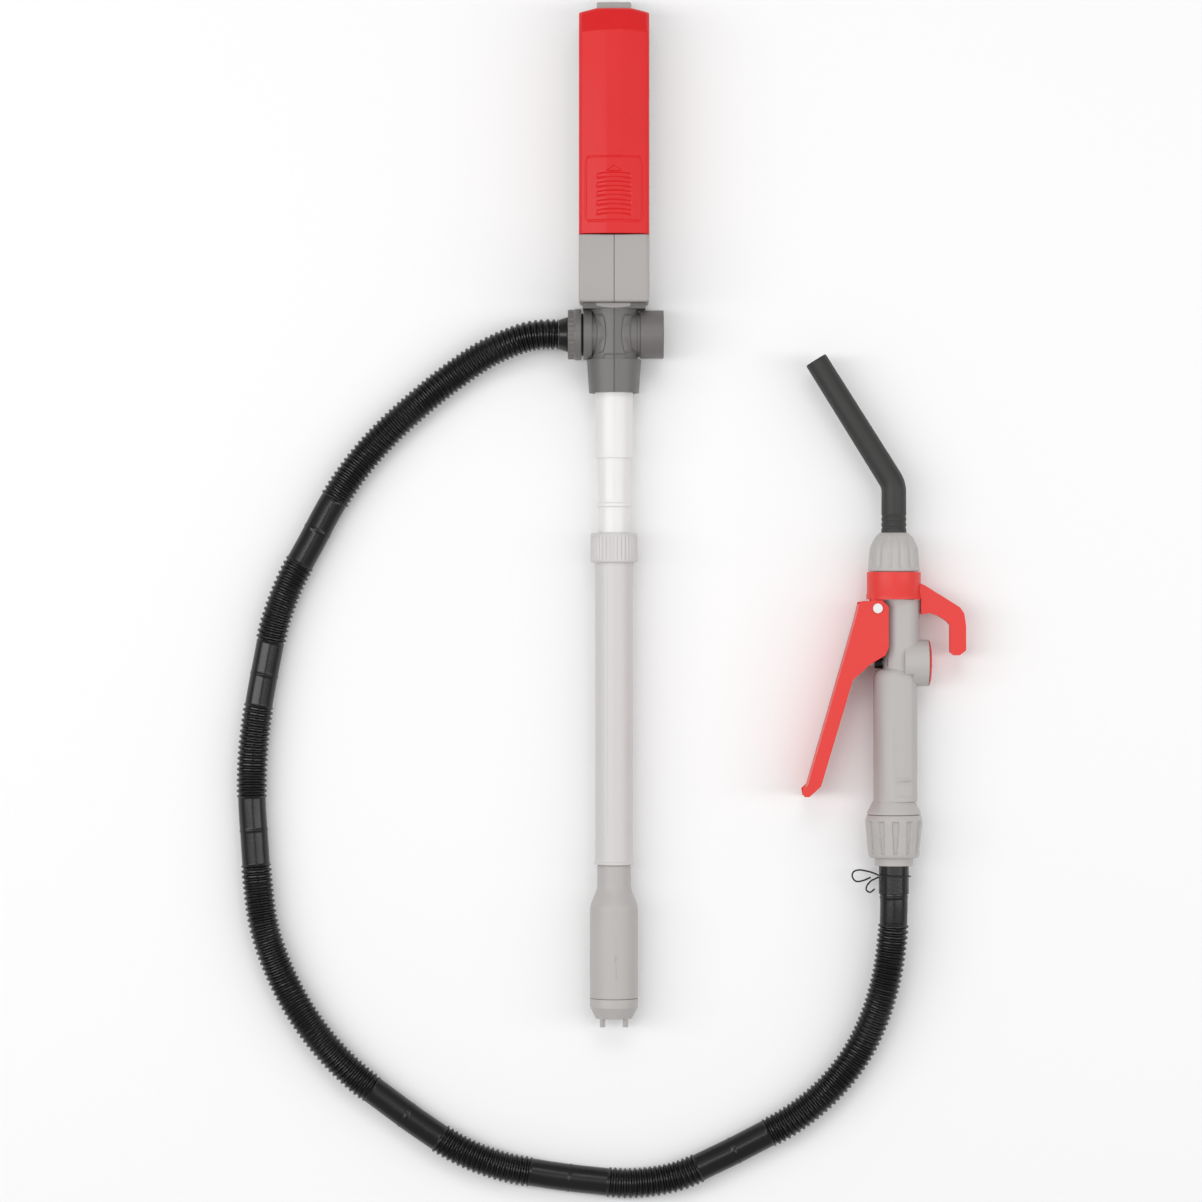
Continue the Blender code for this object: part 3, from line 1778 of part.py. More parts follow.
head_shells()
case_screws()
battery_cover()
lowest_cell_end = battery_cells()
contacts(lowest_cell_end)
power_button()
lead_start = terminal_block()
manifold()
lead_grommet()
motor_lead(lead_start)
outlet_nut()
port_cap()
upper_tube()
inner_tube()
lock_nut()
outer_tube()
foot()
strainer()
motor_unit()
nozzle_body()
valve()
hook_collar()
trigger()
pivot_pin()
spout()
spout_nut()
hose_end()
hose()
wire_clip()
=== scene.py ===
import math

import bmesh
import bpy
import numpy as np
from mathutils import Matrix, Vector
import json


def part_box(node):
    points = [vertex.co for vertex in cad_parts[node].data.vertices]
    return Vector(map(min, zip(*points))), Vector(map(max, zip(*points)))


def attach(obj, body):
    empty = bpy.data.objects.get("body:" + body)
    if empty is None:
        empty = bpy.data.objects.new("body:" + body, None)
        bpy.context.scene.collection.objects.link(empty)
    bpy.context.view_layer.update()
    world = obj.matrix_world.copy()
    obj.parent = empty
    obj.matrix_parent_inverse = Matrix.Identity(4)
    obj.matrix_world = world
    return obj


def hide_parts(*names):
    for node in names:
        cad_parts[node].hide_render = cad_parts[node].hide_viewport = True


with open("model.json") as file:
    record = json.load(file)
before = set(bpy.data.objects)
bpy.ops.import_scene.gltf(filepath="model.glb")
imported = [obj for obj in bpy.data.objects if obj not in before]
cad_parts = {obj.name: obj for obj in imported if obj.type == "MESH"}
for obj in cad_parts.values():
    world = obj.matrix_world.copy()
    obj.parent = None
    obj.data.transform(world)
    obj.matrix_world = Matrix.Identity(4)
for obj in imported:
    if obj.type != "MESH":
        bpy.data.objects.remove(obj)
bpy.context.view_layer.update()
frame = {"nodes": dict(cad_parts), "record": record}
bodyOfNode = {node: body for body, nodes in frame["record"]["behaviour"]["bodies"].items() for node in nodes}
slotOfNode = {entry["node"]: entry["material_slot"] for entry in frame["record"]["subparts"]}
pieces = bpy.data.collections.new("pieces")
bpy.context.scene.collection.children.link(pieces)


# Camera straight above, lights, floor

view = {"height": 2.7205, "x": -0.0078, "y": -0.2644, "lens": 135.0, "sensor": 36.0}
studio = {"world": 0.46, "paper": 0.93, "reach": 5.0, "drop": 0.0003}
banks = [  # name, place, target, width, length, power
    ("leftBank", (-1.3, -0.2, 1.9), (0, -0.26, 0), 0.55, 2.6, 24),
    ("rightBank", (1.4, -0.3, 1.7), (0, -0.26, 0), 0.45, 2.6, 15),
    ("topBank", (0.1, 1.3, 2.4), (0, -0.2, 0), 1.4, 0.7, 9),
]


def addCamera():
    data = bpy.data.cameras.new("camera")
    data.lens = view["lens"]
    data.sensor_width = view["sensor"]
    data.clip_start = 0.1
    data.clip_end = 12.0
    camera = bpy.data.objects.new("camera", data)
    camera.location = (view["x"], view["y"], view["height"])
    pieces.objects.link(camera)
    bpy.context.scene.camera = camera


def addAreaLight(name, place, target, width, length, power):
    data = bpy.data.lights.new(name, "AREA")
    data.shape = "RECTANGLE"
    data.size = width
    data.size_y = length
    data.energy = power
    light = bpy.data.objects.new(name, data)
    light.location = place
    aim = Vector(target) - Vector(place)
    light.rotation_euler = aim.to_track_quat("-Z", "Y").to_euler()
    pieces.objects.link(light)


def addStudio():
    world = bpy.data.worlds.new("studio")
    world.use_nodes = True
    backdrop = world.node_tree.nodes["Background"]
    backdrop.inputs["Color"].default_value = (1.0, 1.0, 1.0, 1.0)
    backdrop.inputs["Strength"].default_value = studio["world"]
    bpy.context.scene.world = world
    for bank in banks:
        addAreaLight(*bank)
    floorMesh = bpy.data.meshes.new("floor")
    reach, level = studio["reach"], -studio["drop"]
    corners = [(-reach, -reach, level), (reach, -reach, level), (reach, reach, level), (-reach, reach, level)]
    floorMesh.from_pydata(corners, [], [(0, 1, 2, 3)])
    floor = bpy.data.objects.new("floor", floorMesh)
    pieces.objects.link(floor)
    paper = bpy.data.materials.new("palePaper")
    paper.use_nodes = True
    shader = paper.node_tree.nodes["Principled BSDF"]
    shader.inputs["Base Color"].default_value = (studio["paper"], studio["paper"], studio["paper"], 1.0)
    shader.inputs["Roughness"].default_value = 0.9
    floorMesh.materials.append(paper)
    bpy.context.scene.view_settings.view_transform = "Standard"


# Finishes. One group gives every moulded or drawn surface its uneven tone and grain.


def makeGrainGroup():
    group = bpy.data.node_groups.new("surfaceGrain", "ShaderNodeTree")
    sockets = {
        "INPUT": ("Colour", "Tone Shift", "Roughness", "Grain Size"),
        "OUTPUT": ("Colour", "Roughness", "Height"),
    }
    for way, names in sockets.items():
        for name in names:
            kind = "NodeSocketColor" if name == "Colour" else "NodeSocketFloat"
            group.interface.new_socket(name, in_out=way, socket_type=kind)
    nodes, links = group.nodes, group.links
    given = nodes.new("NodeGroupInput")
    result = nodes.new("NodeGroupOutput")
    place = nodes.new("ShaderNodeTexCoord")
    cloud = nodes.new("ShaderNodeTexNoise")  # slow change of tone over the piece
    cloud.inputs["Scale"].default_value = 28.0
    cloud.inputs["Detail"].default_value = 3.0
    links.new(place.outputs["Object"], cloud.inputs["Vector"])
    grain = nodes.new("ShaderNodeTexNoise")  # fine moulded grain
    grain.inputs["Detail"].default_value = 2.0
    links.new(place.outputs["Object"], grain.inputs["Vector"])
    links.new(given.outputs["Grain Size"], grain.inputs["Scale"])
    centred = nodes.new("ShaderNodeMath")
    centred.operation = "SUBTRACT"
    centred.inputs[1].default_value = 0.5
    links.new(cloud.outputs["Fac"], centred.inputs[0])
    shift = nodes.new("ShaderNodeMath")
    shift.operation = "MULTIPLY_ADD"
    shift.inputs[2].default_value = 1.0
    links.new(centred.outputs[0], shift.inputs[0])
    links.new(given.outputs["Tone Shift"], shift.inputs[1])
    toned = nodes.new("ShaderNodeHueSaturation")
    links.new(given.outputs["Colour"], toned.inputs["Color"])
    links.new(shift.outputs[0], toned.inputs["Value"])
    links.new(toned.outputs["Color"], result.inputs["Colour"])
    rough = nodes.new("ShaderNodeMath")
    rough.operation = "MULTIPLY_ADD"
    rough.inputs[1].default_value = 0.22
    links.new(centred.outputs[0], rough.inputs[0])
    links.new(given.outputs["Roughness"], rough.inputs[2])
    links.new(rough.outputs[0], result.inputs["Roughness"])
    links.new(grain.outputs["Fac"], result.inputs["Height"])
    return group


grainGroup = makeGrainGroup()


def makeFinish(name, colour, roughness, toneShift=0.16, grainSize=1400.0, bump=0.08, metallic=0.0, shine=0.5):
    made = bpy.data.materials.new(name)
    made.use_nodes = True
    nodes, links = made.node_tree.nodes, made.node_tree.links
    shader = nodes["Principled BSDF"]
    shader.inputs["Metallic"].default_value = metallic
    shader.inputs["Specular IOR Level"].default_value = shine
    grain = nodes.new("ShaderNodeGroup")
    grain.node_tree = grainGroup
    grain.inputs["Colour"].default_value = (*colour, 1.0)
    grain.inputs["Tone Shift"].default_value = toneShift
    grain.inputs["Roughness"].default_value = roughness
    grain.inputs["Grain Size"].default_value = grainSize
    links.new(grain.outputs["Colour"], shader.inputs["Base Color"])
    links.new(grain.outputs["Roughness"], shader.inputs["Roughness"])
    relief = nodes.new("ShaderNodeBump")
    relief.inputs["Strength"].default_value = bump
    relief.inputs["Distance"].default_value = 0.0004
    links.new(grain.outputs["Height"], relief.inputs["Height"])
    links.new(relief.outputs["Normal"], shader.inputs["Normal"])
    return made


finishes = {
    "red_plastic": makeFinish("redPlastic", (0.70, 0.006, 0.008), 0.40, 0.1, bump=0.05, shine=0.42),
    "case_grey": makeFinish("caseGrey", (0.395, 0.375, 0.365), 0.48, 0.12, 2200.0, 0.16),
    "light_grey": makeFinish("lightGrey", (0.47, 0.45, 0.44), 0.46, 0.1, 2200.0, 0.1),
    "white_plastic": makeFinish("whiteTube", (0.80, 0.79, 0.78), 0.34, 0.06),
    "black_rubber": makeFinish("hoseBlack", (0.0035, 0.0035, 0.0035), 0.27, 0.5, 900.0, 0.1, shine=0.38),
    "seal_rubber": makeFinish("sealRubber", (0.016, 0.016, 0.016), 0.68, 0.4),
    "charcoal": makeFinish("charcoal", (0.030, 0.029, 0.028), 0.5, 0.3, 1800.0, 0.2, shine=0.4),
    "steel": makeFinish("springSteel", (0.58, 0.58, 0.59), 0.28, 0.1, metallic=1.0),
    "black_wire": makeFinish("wireBlack", (0.006, 0.006, 0.006), 0.32, 0.3, shine=0.4),
    "brass": makeFinish("contactBrass", (0.72, 0.5, 0.2), 0.3, 0.2, metallic=1.0),
    "cell_steel": makeFinish("cellJacket", (0.36, 0.37, 0.39), 0.34, 0.15, metallic=1.0),
}
tubeGrey = makeFinish("outerTubeGrey", (0.62, 0.60, 0.595), 0.40, 0.08)
teeGrey = makeFinish("teeGrey", (0.150, 0.142, 0.139), 0.38, 0.16, 2200.0, 0.14)
coralPlastic = makeFinish("coralPlastic", (0.76, 0.035, 0.028), 0.42, 0.1, bump=0.05, shine=0.42)


# Making pieces


def keepPiece(name, mesh, body, slot, nodes=(), finish=None):
    piece = bpy.data.objects.new(name, mesh)
    pieces.objects.link(piece)
    mesh.materials.clear()
    mesh.materials.append(finish or finishes[slot])
    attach(piece, body)
    if nodes:
        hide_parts(*nodes)
    return piece


def gridMesh(name, points, wrapDown, sharp=32.0):
    # points is (down, around, 3). Each ring closes on itself, and the last ring joins the first if wrapDown.
    down, around = points.shape[:2]
    index = np.arange(down * around).reshape(down, around)
    below = np.roll(index, -1, axis=0) if wrapDown else index[1:]
    upper = index if wrapDown else index[:-1]
    quads = np.stack([upper, np.roll(upper, -1, axis=1), np.roll(below, -1, axis=1), below], axis=-1)
    return finishedMesh(name, points.reshape(-1, 3), quads.reshape(-1, 4), sharp)


def finishedMesh(name, points, quads, sharp=32.0):
    mesh = bpy.data.meshes.new(name)
    mesh.from_pydata(points.tolist(), [], quads.tolist())
    work = bmesh.new()
    work.from_mesh(mesh)
    bmesh.ops.remove_doubles(work, verts=work.verts, dist=0.0000005)
    bmesh.ops.dissolve_degenerate(work, edges=work.edges, dist=0.0000002)
    bmesh.ops.recalc_face_normals(work, faces=work.faces)
    work.to_mesh(mesh)
    work.free()
    mesh.shade_smooth()
    mesh.set_sharp_from_angle(angle=math.radians(sharp))
    return mesh


def roundedProfile(profile, radius, closed, spacing):
    # Every corner becomes a short curve (a quadratic blend of its two sides), then long sides get more points.
    corners = np.array(profile, float)
    count = len(corners)
    path = []
    for i in range(count):
        here = corners[i]
        if not closed and i in (0, count - 1):
            path.append(here)
            continue
        before, after = corners[i - 1], corners[(i + 1) % count]
        toBefore, toAfter = before - here, after - here
        lengthBefore, lengthAfter = np.linalg.norm(toBefore), np.linalg.norm(toAfter)
        reach = min(radius, lengthBefore * 0.45, lengthAfter * 0.45)
        first, last = here + toBefore / lengthBefore * reach, here + toAfter / lengthAfter * reach
        for t in (0.0, 0.33, 0.67, 1.0):
            path.append(first * (1 - t) ** 2 + here * 2 * t * (1 - t) + last * t**2)
    if closed:
        path.append(path[0])
    dense = []
    for start, end in zip(path, path[1:]):
        parts = max(1, int(np.ceil(np.linalg.norm(end - start) / spacing)))
        dense.append(start + (end - start) * (np.arange(parts) / parts)[:, None])
    if not closed:
        dense.append(np.array([path[-1]]))
    return np.concatenate(dense)


def window(value, low, high, edge):
    # 1 between low and high, falling to 0 over edge on either side
    rise = np.clip((value - low) / edge + 0.5, 0, 1)
    fall = np.clip((high - value) / edge + 0.5, 0, 1)
    return rise * rise * (3 - 2 * rise) * fall * fall * (3 - 2 * fall)


def turnedPiece(name, profile, centre, axis, around=96, soft=0.0004, spacing=0.004, relief=None, closed=True):
    # A profile of (radius, distance along the axis) carried round the axis.
    # relief(angle, along, radius) is added to the radius.
    line = roundedProfile(profile, soft, closed, spacing)
    radius, along = line[:, 0][:, None], line[:, 1][:, None]
    angle = np.linspace(0, 2 * np.pi, around, endpoint=False)[None, :]
    reach = radius + (relief(angle, along, radius) if relief else 0 * angle)
    reach = np.maximum(reach, 0)
    sideways, upward = reach * np.cos(angle), reach * np.sin(angle)
    lengthwise = along + 0 * angle
    if axis == "y":
        points = np.stack([centre[0] + sideways, lengthwise, centre[2] + upward], axis=-1)
    else:
        points = np.stack([lengthwise, centre[1] + sideways, centre[2] + upward], axis=-1)
    return gridMesh(name, points, wrapDown=closed)


def softCopy(node, width, name, finish=None, segments=2, slot=None):
    # The CAD shape with its edges rounded
    source = frame["nodes"][node]
    mesh = source.data.copy()
    mesh.transform(source.matrix_world)
    work = bmesh.new()
    work.from_mesh(mesh)
    bmesh.ops.remove_doubles(work, verts=work.verts, dist=0.000002)
    bmesh.ops.dissolve_limit(work, angle_limit=math.radians(0.6), verts=work.verts, edges=work.edges)
    work.to_mesh(mesh)
    work.free()
    mesh.shade_smooth()
    mesh.set_sharp_from_angle(angle=math.radians(32))
    piece = keepPiece(name, mesh, bodyOfNode[node], slot or slotOfNode[node], (node,), finish)
    edges = piece.modifiers.new("softEdges", "BEVEL")
    edges.width = width
    edges.segments = segments
    edges.limit_method = "ANGLE"
    edges.angle_limit = math.radians(38)
    return piece


def darkenBelow(piece, finish, height):
    # Faces whose middle is below height take the second finish
    mesh = piece.data
    mesh.materials.append(finish)
    middles = np.empty(len(mesh.polygons) * 3)
    mesh.polygons.foreach_get("center", middles)
    mesh.polygons.foreach_set("material_index", (middles.reshape(-1, 3)[:, 1] < height).astype(np.int32))


def centreOf(node):
    low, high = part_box(node)
    return [(a + b) / 2 for a, b in zip(low, high)]


for node, shown in frame["nodes"].items():
    for place in shown.material_slots:
        place.material = finishes[slotOfNode[node]]
print("finishes on the CAD nodes")


# Hose: corrugated, with plain lengths between

hoseSize = {
    "crest": 0.0092, "valley": 0.0079, "plain": 0.0083, "pitch": 0.0032, "step": 0.00046, "around": 28,
    "diameter": 0.0184,
}
plainLengths = [
    (0.174, 0.217), (0.268, 0.307), (0.362, 0.403), (0.560, 0.610), (0.669, 0.716), (0.772, 0.819), (0.974, 1.2),
]
plainMarks = [0.195, 0.288, 0.382, 0.586, 0.693, 0.796, 0.990, 0.996]
hoseRoute = [
    (-0.0560, -0.1070, 0.0150), (-0.0762, -0.1156, 0.0120), (-0.0973, -0.1296, 0.0100),
    (-0.1180, -0.1462, 0.0094), (-0.1376, -0.1642, 0.0094), (-0.1550, -0.1841, 0.0094),
    (-0.1695, -0.2058, 0.0094), (-0.1820, -0.2290, 0.0094), (-0.1945, -0.2524, 0.0094),
    (-0.2037, -0.2770, 0.0094), (-0.2092, -0.3028, 0.0094), (-0.2139, -0.3289, 0.0094),
    (-0.2171, -0.3550, 0.0094), (-0.2178, -0.3813, 0.0094), (-0.2163, -0.4076, 0.0094),
    (-0.2143, -0.4340, 0.0094), (-0.2105, -0.4601, 0.0094), (-0.2021, -0.4851, 0.0094),
    (-0.1902, -0.5086, 0.0094), (-0.1749, -0.5302, 0.0094), (-0.1566, -0.5492, 0.0094),
    (-0.1357, -0.5654, 0.0094), (-0.1143, -0.5809, 0.0094), (-0.0920, -0.5949, 0.0094),
    (-0.0675, -0.6043, 0.0094), (-0.0414, -0.6092, 0.0094), (-0.0151, -0.6126, 0.0094),
    (0.0110, -0.6145, 0.0094), (0.0370, -0.6107, 0.0094), (0.0612, -0.6003, 0.0094),
    (0.0849, -0.5884, 0.0094), (0.1079, -0.5757, 0.0094), (0.1282, -0.5591, 0.0096),
    (0.1447, -0.5387, 0.0106), (0.1563, -0.5152, 0.0126), (0.1636, -0.4900, 0.0150),
    (0.1670, -0.4660, 0.0167),
]


def evenRoute(route, step):
    # A Catmull-Rom curve through the route, then points the same distance apart along it
    points = np.array(route, float)
    ends = np.vstack([2 * points[0] - points[1], points, 2 * points[-1] - points[-2]])
    a, b, c, d = (ends[i : len(ends) - 3 + i][:, None, :] for i in range(4))
    t = np.linspace(0, 1, 40, endpoint=False)[None, :, None]
    curve = 0.5 * (2 * b + (c - a) * t + (2 * a - 5 * b + 4 * c - d) * t**2 + (3 * b - a - 3 * c + d) * t**3)
    curve = np.vstack([curve.reshape(-1, 3), points[-1]])
    travelled = np.concatenate([[0], np.cumsum(np.linalg.norm(np.diff(curve, axis=0), axis=1))])
    wanted = np.linspace(0, travelled[-1], int(travelled[-1] / step) + 1)
    return np.stack([np.interp(wanted, travelled, curve[:, i]) for i in range(3)], axis=-1), wanted


def sweptMesh(name, centres, radii, around, closeEnds=True):
    # Circles of the given radii set square to the path, all in frames built from the upright direction
    ahead = np.gradient(centres, axis=0)
    ahead /= np.linalg.norm(ahead, axis=1)[:, None]
    sideways = np.cross(ahead, [0, 0, 1.0])
    sideways /= np.linalg.norm(sideways, axis=1)[:, None]
    upward = np.cross(sideways, ahead)
    angle = np.linspace(0, 2 * np.pi, around, endpoint=False)[None, :, None]
    ringShape = np.cos(angle) * sideways[:, None, :] + np.sin(angle) * upward[:, None, :]
    points = centres[:, None, :] + ringShape * radii[:, None, None]
    if closeEnds:
        first = np.repeat(centres[:1][:, None, :], around, axis=1)
        last = np.repeat(centres[-1:][:, None, :], around, axis=1)
        points = np.concatenate([first, points, last], axis=0)
    return gridMesh(name, points, wrapDown=False, sharp=50.0)


def makeHose():
    outletLow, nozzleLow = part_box("outlet_cuff")[0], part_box("nozzle_cuff")[0]
    outlet, nozzle = centreOf("outlet_cuff"), centreOf("nozzle_cuff")
    start = (outletLow[0] - 0.0003, outlet[1], outlet[2])
    finish = (nozzle[0], nozzleLow[1] - 0.0003, nozzle[2])
    leaving = (start[0] - 0.010, start[1], start[2])
    arriving = (finish[0], finish[1] - 0.010, finish[2])
    centres, along = evenRoute([start, leaving, *hoseRoute, arriving, finish], hoseSize["step"])
    wave = 0.5 + 0.5 * np.cos(2 * np.pi * along / hoseSize["pitch"])
    wave = np.clip((wave - 0.5) * 1.5 + 0.5, 0, 1)
    radii = hoseSize["valley"] + (hoseSize["crest"] - hoseSize["valley"]) * wave
    for low, high in plainLengths:
        plain = window(along, low, high, 0.002)
        radii = radii * (1 - plain) + hoseSize["plain"] * plain
    for mark in plainMarks:
        radii = radii + 0.0003 * np.exp(-(((along - mark) / 0.0007) ** 2))
    mesh = sweptMesh("hoseTube", centres, radii, hoseSize["around"])
    hose = keepPiece("hoseTube", mesh, bodyOfNode["hose"], "black_rubber", ("hose",))
    print("hose", round(float(along[-1]), 4), "m")


# Suction column

columnCentre = centreOf("outer_tube")
outerTube = {"top": 0.0114, "bottom": 0.0113, "rim": 0.0119, "bore": 0.0100, "dots": (-0.251, -0.269, -0.3775, -0.4060)}
whiteTube = {"top": 0.01137, "bottom": 0.01130, "bore": 0.00990}
innerTube = {
    "top": 0.00972, "neck": 0.00966, "bead": 0.01048, "outside": 0.00948, "groove": 0.00888, "bore": 0.0082,
    "beadDrop": 0.0267,
}
gripNut = {
    "top": 0.0136, "outside": 0.0141, "bottom": 0.0134, "seat": 0.0119, "bore": 0.0104, "ribs": 34, "ribDepth": 0.0006,
}
pumpFoot = {"neck": 0.0097, "waist": 0.01005, "outside": 0.0144, "swell": 0.00435, "bore": 0.0128, "neckBore": 0.0082}


def dent(angle, along, where, halfWidth, low, high, depth, edge=0.05):
    # A shallow mark: a window in angle (degrees) times a window along the axis
    turn = np.degrees(angle)
    return -depth * window(turn, where - halfWidth, where + halfWidth, 2.0) * window(along, low, high, edge * 0.01)


def makeColumn():
    # White tubes, the grey tube that slides, its grip nut and the foot: all turned round one line
    low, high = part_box("outer_tube")
    top, bottom = high[1], low[1]

    def outerRelief(angle, along, radius):
        outside = radius > 0.0108
        lines = dent(angle, along, 113.0, 1.4, bottom + 0.02, top - 0.016, 0.00022)
        lines = lines + dent(angle, along, 147.0, 1.4, bottom + 0.006, top - 0.006, 0.00028)
        for y in outerTube["dots"]:
            lines = lines - dent(angle, along, 121.0, 3.0, y - 0.0010, y + 0.0010, 0.00030)
        return np.where(outside, lines, 0)

    profile = [
        (outerTube["top"], top), (outerTube["bottom"], bottom + 0.0024), (outerTube["rim"], bottom + 0.0016),
        (outerTube["rim"], bottom + 0.0002), (outerTube["bore"], bottom), (outerTube["bore"], top),
    ]
    mesh = turnedPiece("outerTube", profile, columnCentre, "y", 180, 0.0003, 0.0018, outerRelief)
    keepPiece("outerTube", mesh, bodyOfNode["outer_tube"], "light_grey", ("outer_tube",), tubeGrey)

    low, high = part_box("upper_tube")
    profile = [
        (whiteTube["top"], high[1]), (whiteTube["bottom"], low[1]), (whiteTube["bore"], low[1]),
        (whiteTube["bore"], high[1]),
    ]
    mesh = turnedPiece("upperTube", profile, columnCentre, "y", 96, 0.0003, 0.01)
    keepPiece("upperTube", mesh, bodyOfNode["upper_tube"], "white_plastic", ("upper_tube",))

    low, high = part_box("inner_tube")
    top, bottom = high[1], low[1]
    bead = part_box("upper_tube")[0][1] - innerTube["beadDrop"]
    outside, groove, bore = innerTube["outside"], innerTube["groove"], innerTube["bore"]

    def innerRelief(angle, along, radius):
        return np.where(radius > 0.0092, dent(angle, along, 88.0, 3.0, -0.1945, -0.1885, 0.00018), 0)

    profile = [
        (innerTube["top"], top), (innerTube["neck"], bead), (innerTube["bead"], bead - 0.0005),
        (innerTube["bead"], bead - 0.0023), (outside, bead - 0.0028), (outside, bottom + 0.0066),
        (groove, bottom + 0.0062), (groove, bottom + 0.0042), (outside, bottom + 0.0038), (outside, bottom),
        (bore, bottom), (bore, top),
    ]
    mesh = turnedPiece("innerTube", profile, columnCentre, "y", 120, 0.0003, 0.003, innerRelief)
    keepPiece("innerTube", mesh, bodyOfNode["inner_tube"], "white_plastic", ("inner_tube",))

    low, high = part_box("lock_nut")
    top, bottom = high[1], low[1]

    def nutRelief(angle, along, radius):
        ribs = 0.5 + 0.5 * np.cos(angle * gripNut["ribs"])
        band = window(along, bottom + 0.0016, top - 0.0022, 0.0012)
        return np.where(radius > 0.0128, -gripNut["ribDepth"] * (1 - ribs**0.7) * band, 0)

    profile = [
        (gripNut["top"], top), (gripNut["outside"], top - 0.0012), (gripNut["outside"], bottom + 0.0010),
        (gripNut["bottom"], bottom), (gripNut["seat"], bottom), (gripNut["seat"], top - 0.0044),
        (gripNut["bore"], top - 0.0020), (gripNut["bore"], top),
    ]
    mesh = turnedPiece("gripNut", profile, columnCentre, "y", 340, 0.0004, 0.0009, nutRelief)
    keepPiece("gripNut", mesh, bodyOfNode["lock_nut"], "light_grey", ("lock_nut",), tubeGrey)

    low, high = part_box("foot_body")
    top, bottom = high[1], low[1]
    neckTop = top - 0.0140
    rise = np.linspace(0, 1, 9)
    blend = rise * rise * (3 - 2 * rise)
    shoulder = list(zip(pumpFoot["waist"] + pumpFoot["swell"] * blend, neckTop - 0.0116 - 0.0150 * rise))

    def footRelief(angle, along, radius):
        outside = radius > 0.0135
        marks = dent(angle, along, 84.0, 2.6, -0.4800, -0.4770, 0.0007)
        marks = marks + dent(angle, along, 84.0, 1.0, -0.4920, -0.4800, 0.0003)
        marks = marks - dent(angle, along, 84.0, 2.0, -0.4958, -0.4938, 0.0003)
        marks = marks + dent(angle, along, 172.0, 5.0, -0.4890, -0.4740, 0.0008)
        marks = marks - dent(angle, along, 160.0, 2.0, -0.4690, -0.4670, 0.0003)
        return np.where(outside, marks, 0)

    profile = [
        (pumpFoot["neck"], top), (pumpFoot["neck"], neckTop), (pumpFoot["waist"], neckTop - 0.0001), *shoulder,
        (pumpFoot["outside"], bottom), (pumpFoot["bore"], bottom), (pumpFoot["bore"], neckTop - 0.027),
        (pumpFoot["neckBore"], neckTop - 0.0116), (pumpFoot["neckBore"], top),
    ]
    mesh = turnedPiece("footBody", profile, columnCentre, "y", 180, 0.0002, 0.0012, footRelief)
    keepPiece("footBody", mesh, bodyOfNode["foot_body"], "light_grey", ("foot_body",))
    softCopy("foot_cap", 0.0004, "footCap")


# Tee: its nut, its cap and the saddle bands


def makeTee():
    # Nut, cap and cuff on the cross pipe, then the CAD shells with soft edges
    low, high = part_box("hose_nut")
    centre = centreOf("hose_nut")
    profile = [
        (0.0154, high[0]), (0.0154, high[0] - 0.0036), (0.0149, high[0] - 0.0042), (0.0149, low[0]),
        (0.0089, low[0]), (0.0089, low[0] + 0.0018), (0.0109, low[0] + 0.0018), (0.0109, high[0]),
    ]

    def gripRelief(angle, along, radius):
        band = window(along, low[0] + 0.0006, high[0] - 0.0044, 0.0006)
        return np.where(radius > 0.014, -0.0004 * (0.5 - 0.5 * np.cos(angle * 28)) ** 2 * band, 0)

    mesh = turnedPiece("outletNut", profile, centre, "x", 224, 0.0006, 0.0008, gripRelief)
    keepPiece("outletNut", mesh, bodyOfNode["hose_nut"], "case_grey", ("hose_nut",), teeGrey)
    low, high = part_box("port_cap")
    centre = centreOf("port_cap")
    profile = [
        (0.0, high[0] - 0.0004), (0.0110, high[0] - 0.0004), (0.0124, high[0]), (0.0145, high[0]), (0.0145, low[0]),
        (0.0109, low[0]), (0.0109, high[0] - 0.0022), (0.0, high[0] - 0.0022),
    ]
    mesh = turnedPiece("sideCap", profile, centre, "x", 120, 0.0007, 0.003, closed=False)
    keepPiece("sideCap", mesh, bodyOfNode["port_cap"], "case_grey", ("port_cap",), teeGrey)
    low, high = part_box("outlet_cuff")
    centre = centreOf("outlet_cuff")
    profile = [
        (0.0063, high[0]), (0.0106, high[0]), (0.0106, high[0] - 0.0015), (0.0086, high[0] - 0.0017),
        (0.0086, low[0] + 0.0056), (0.0106, low[0] + 0.0050), (0.0089, low[0]), (0.0063, low[0]),
    ]
    mesh = turnedPiece("outletCuff", profile, centre, "x", 96, 0.0004, 0.002)
    keepPiece("outletCuff", mesh, bodyOfNode["outlet_cuff"], "black_rubber", ("outlet_cuff",))
    for node, name in (("head_shell_left", "leftShell"), ("head_shell_right", "rightShell")):
        darkenBelow(softCopy(node, 0.0004, name), teeGrey, neckHighlightBand["top"])
    softCopy("manifold", 0.0003, "teePipe", teeGrey)
    softCopy("power_button", 0.0006, "powerButton", finishes["case_grey"])


# Raised bands where the cross pipe meets the upright one, a slot frame, and a lighter grey patch across the neck: a
# painted highlight on the neck recess


teeSize = {"y": -0.1046, "height": 0.0165, "upright": 0.0142, "across": 0.0133, "bandReach": 0.0117, "bandSink": 0.0007}
teeBands = [
    {"x": -0.0095, "halfWidth": 0.0028, "bow": 0.0020, "lift": 0.0011},
    {"x": 0.0090, "halfWidth": 0.0028, "bow": -0.0020, "lift": 0.0011},
    {"x": 0.0148, "halfWidth": 0.0010, "bow": 0.0, "lift": 0.0009},
    {"x": -0.0146, "halfWidth": 0.0008, "bow": 0.0, "lift": 0.0009},
]
neckHighlightBand = {
    "left": -0.0106, "right": 0.0098, "top": -0.0864, "middleBottom": -0.0893, "endBottom": -0.0880, "face": 0.0308,
}
slotFrame = {"y": -0.1185, "halfLength": 0.0070, "halfHeight": 0.0016, "rim": 0.0007}


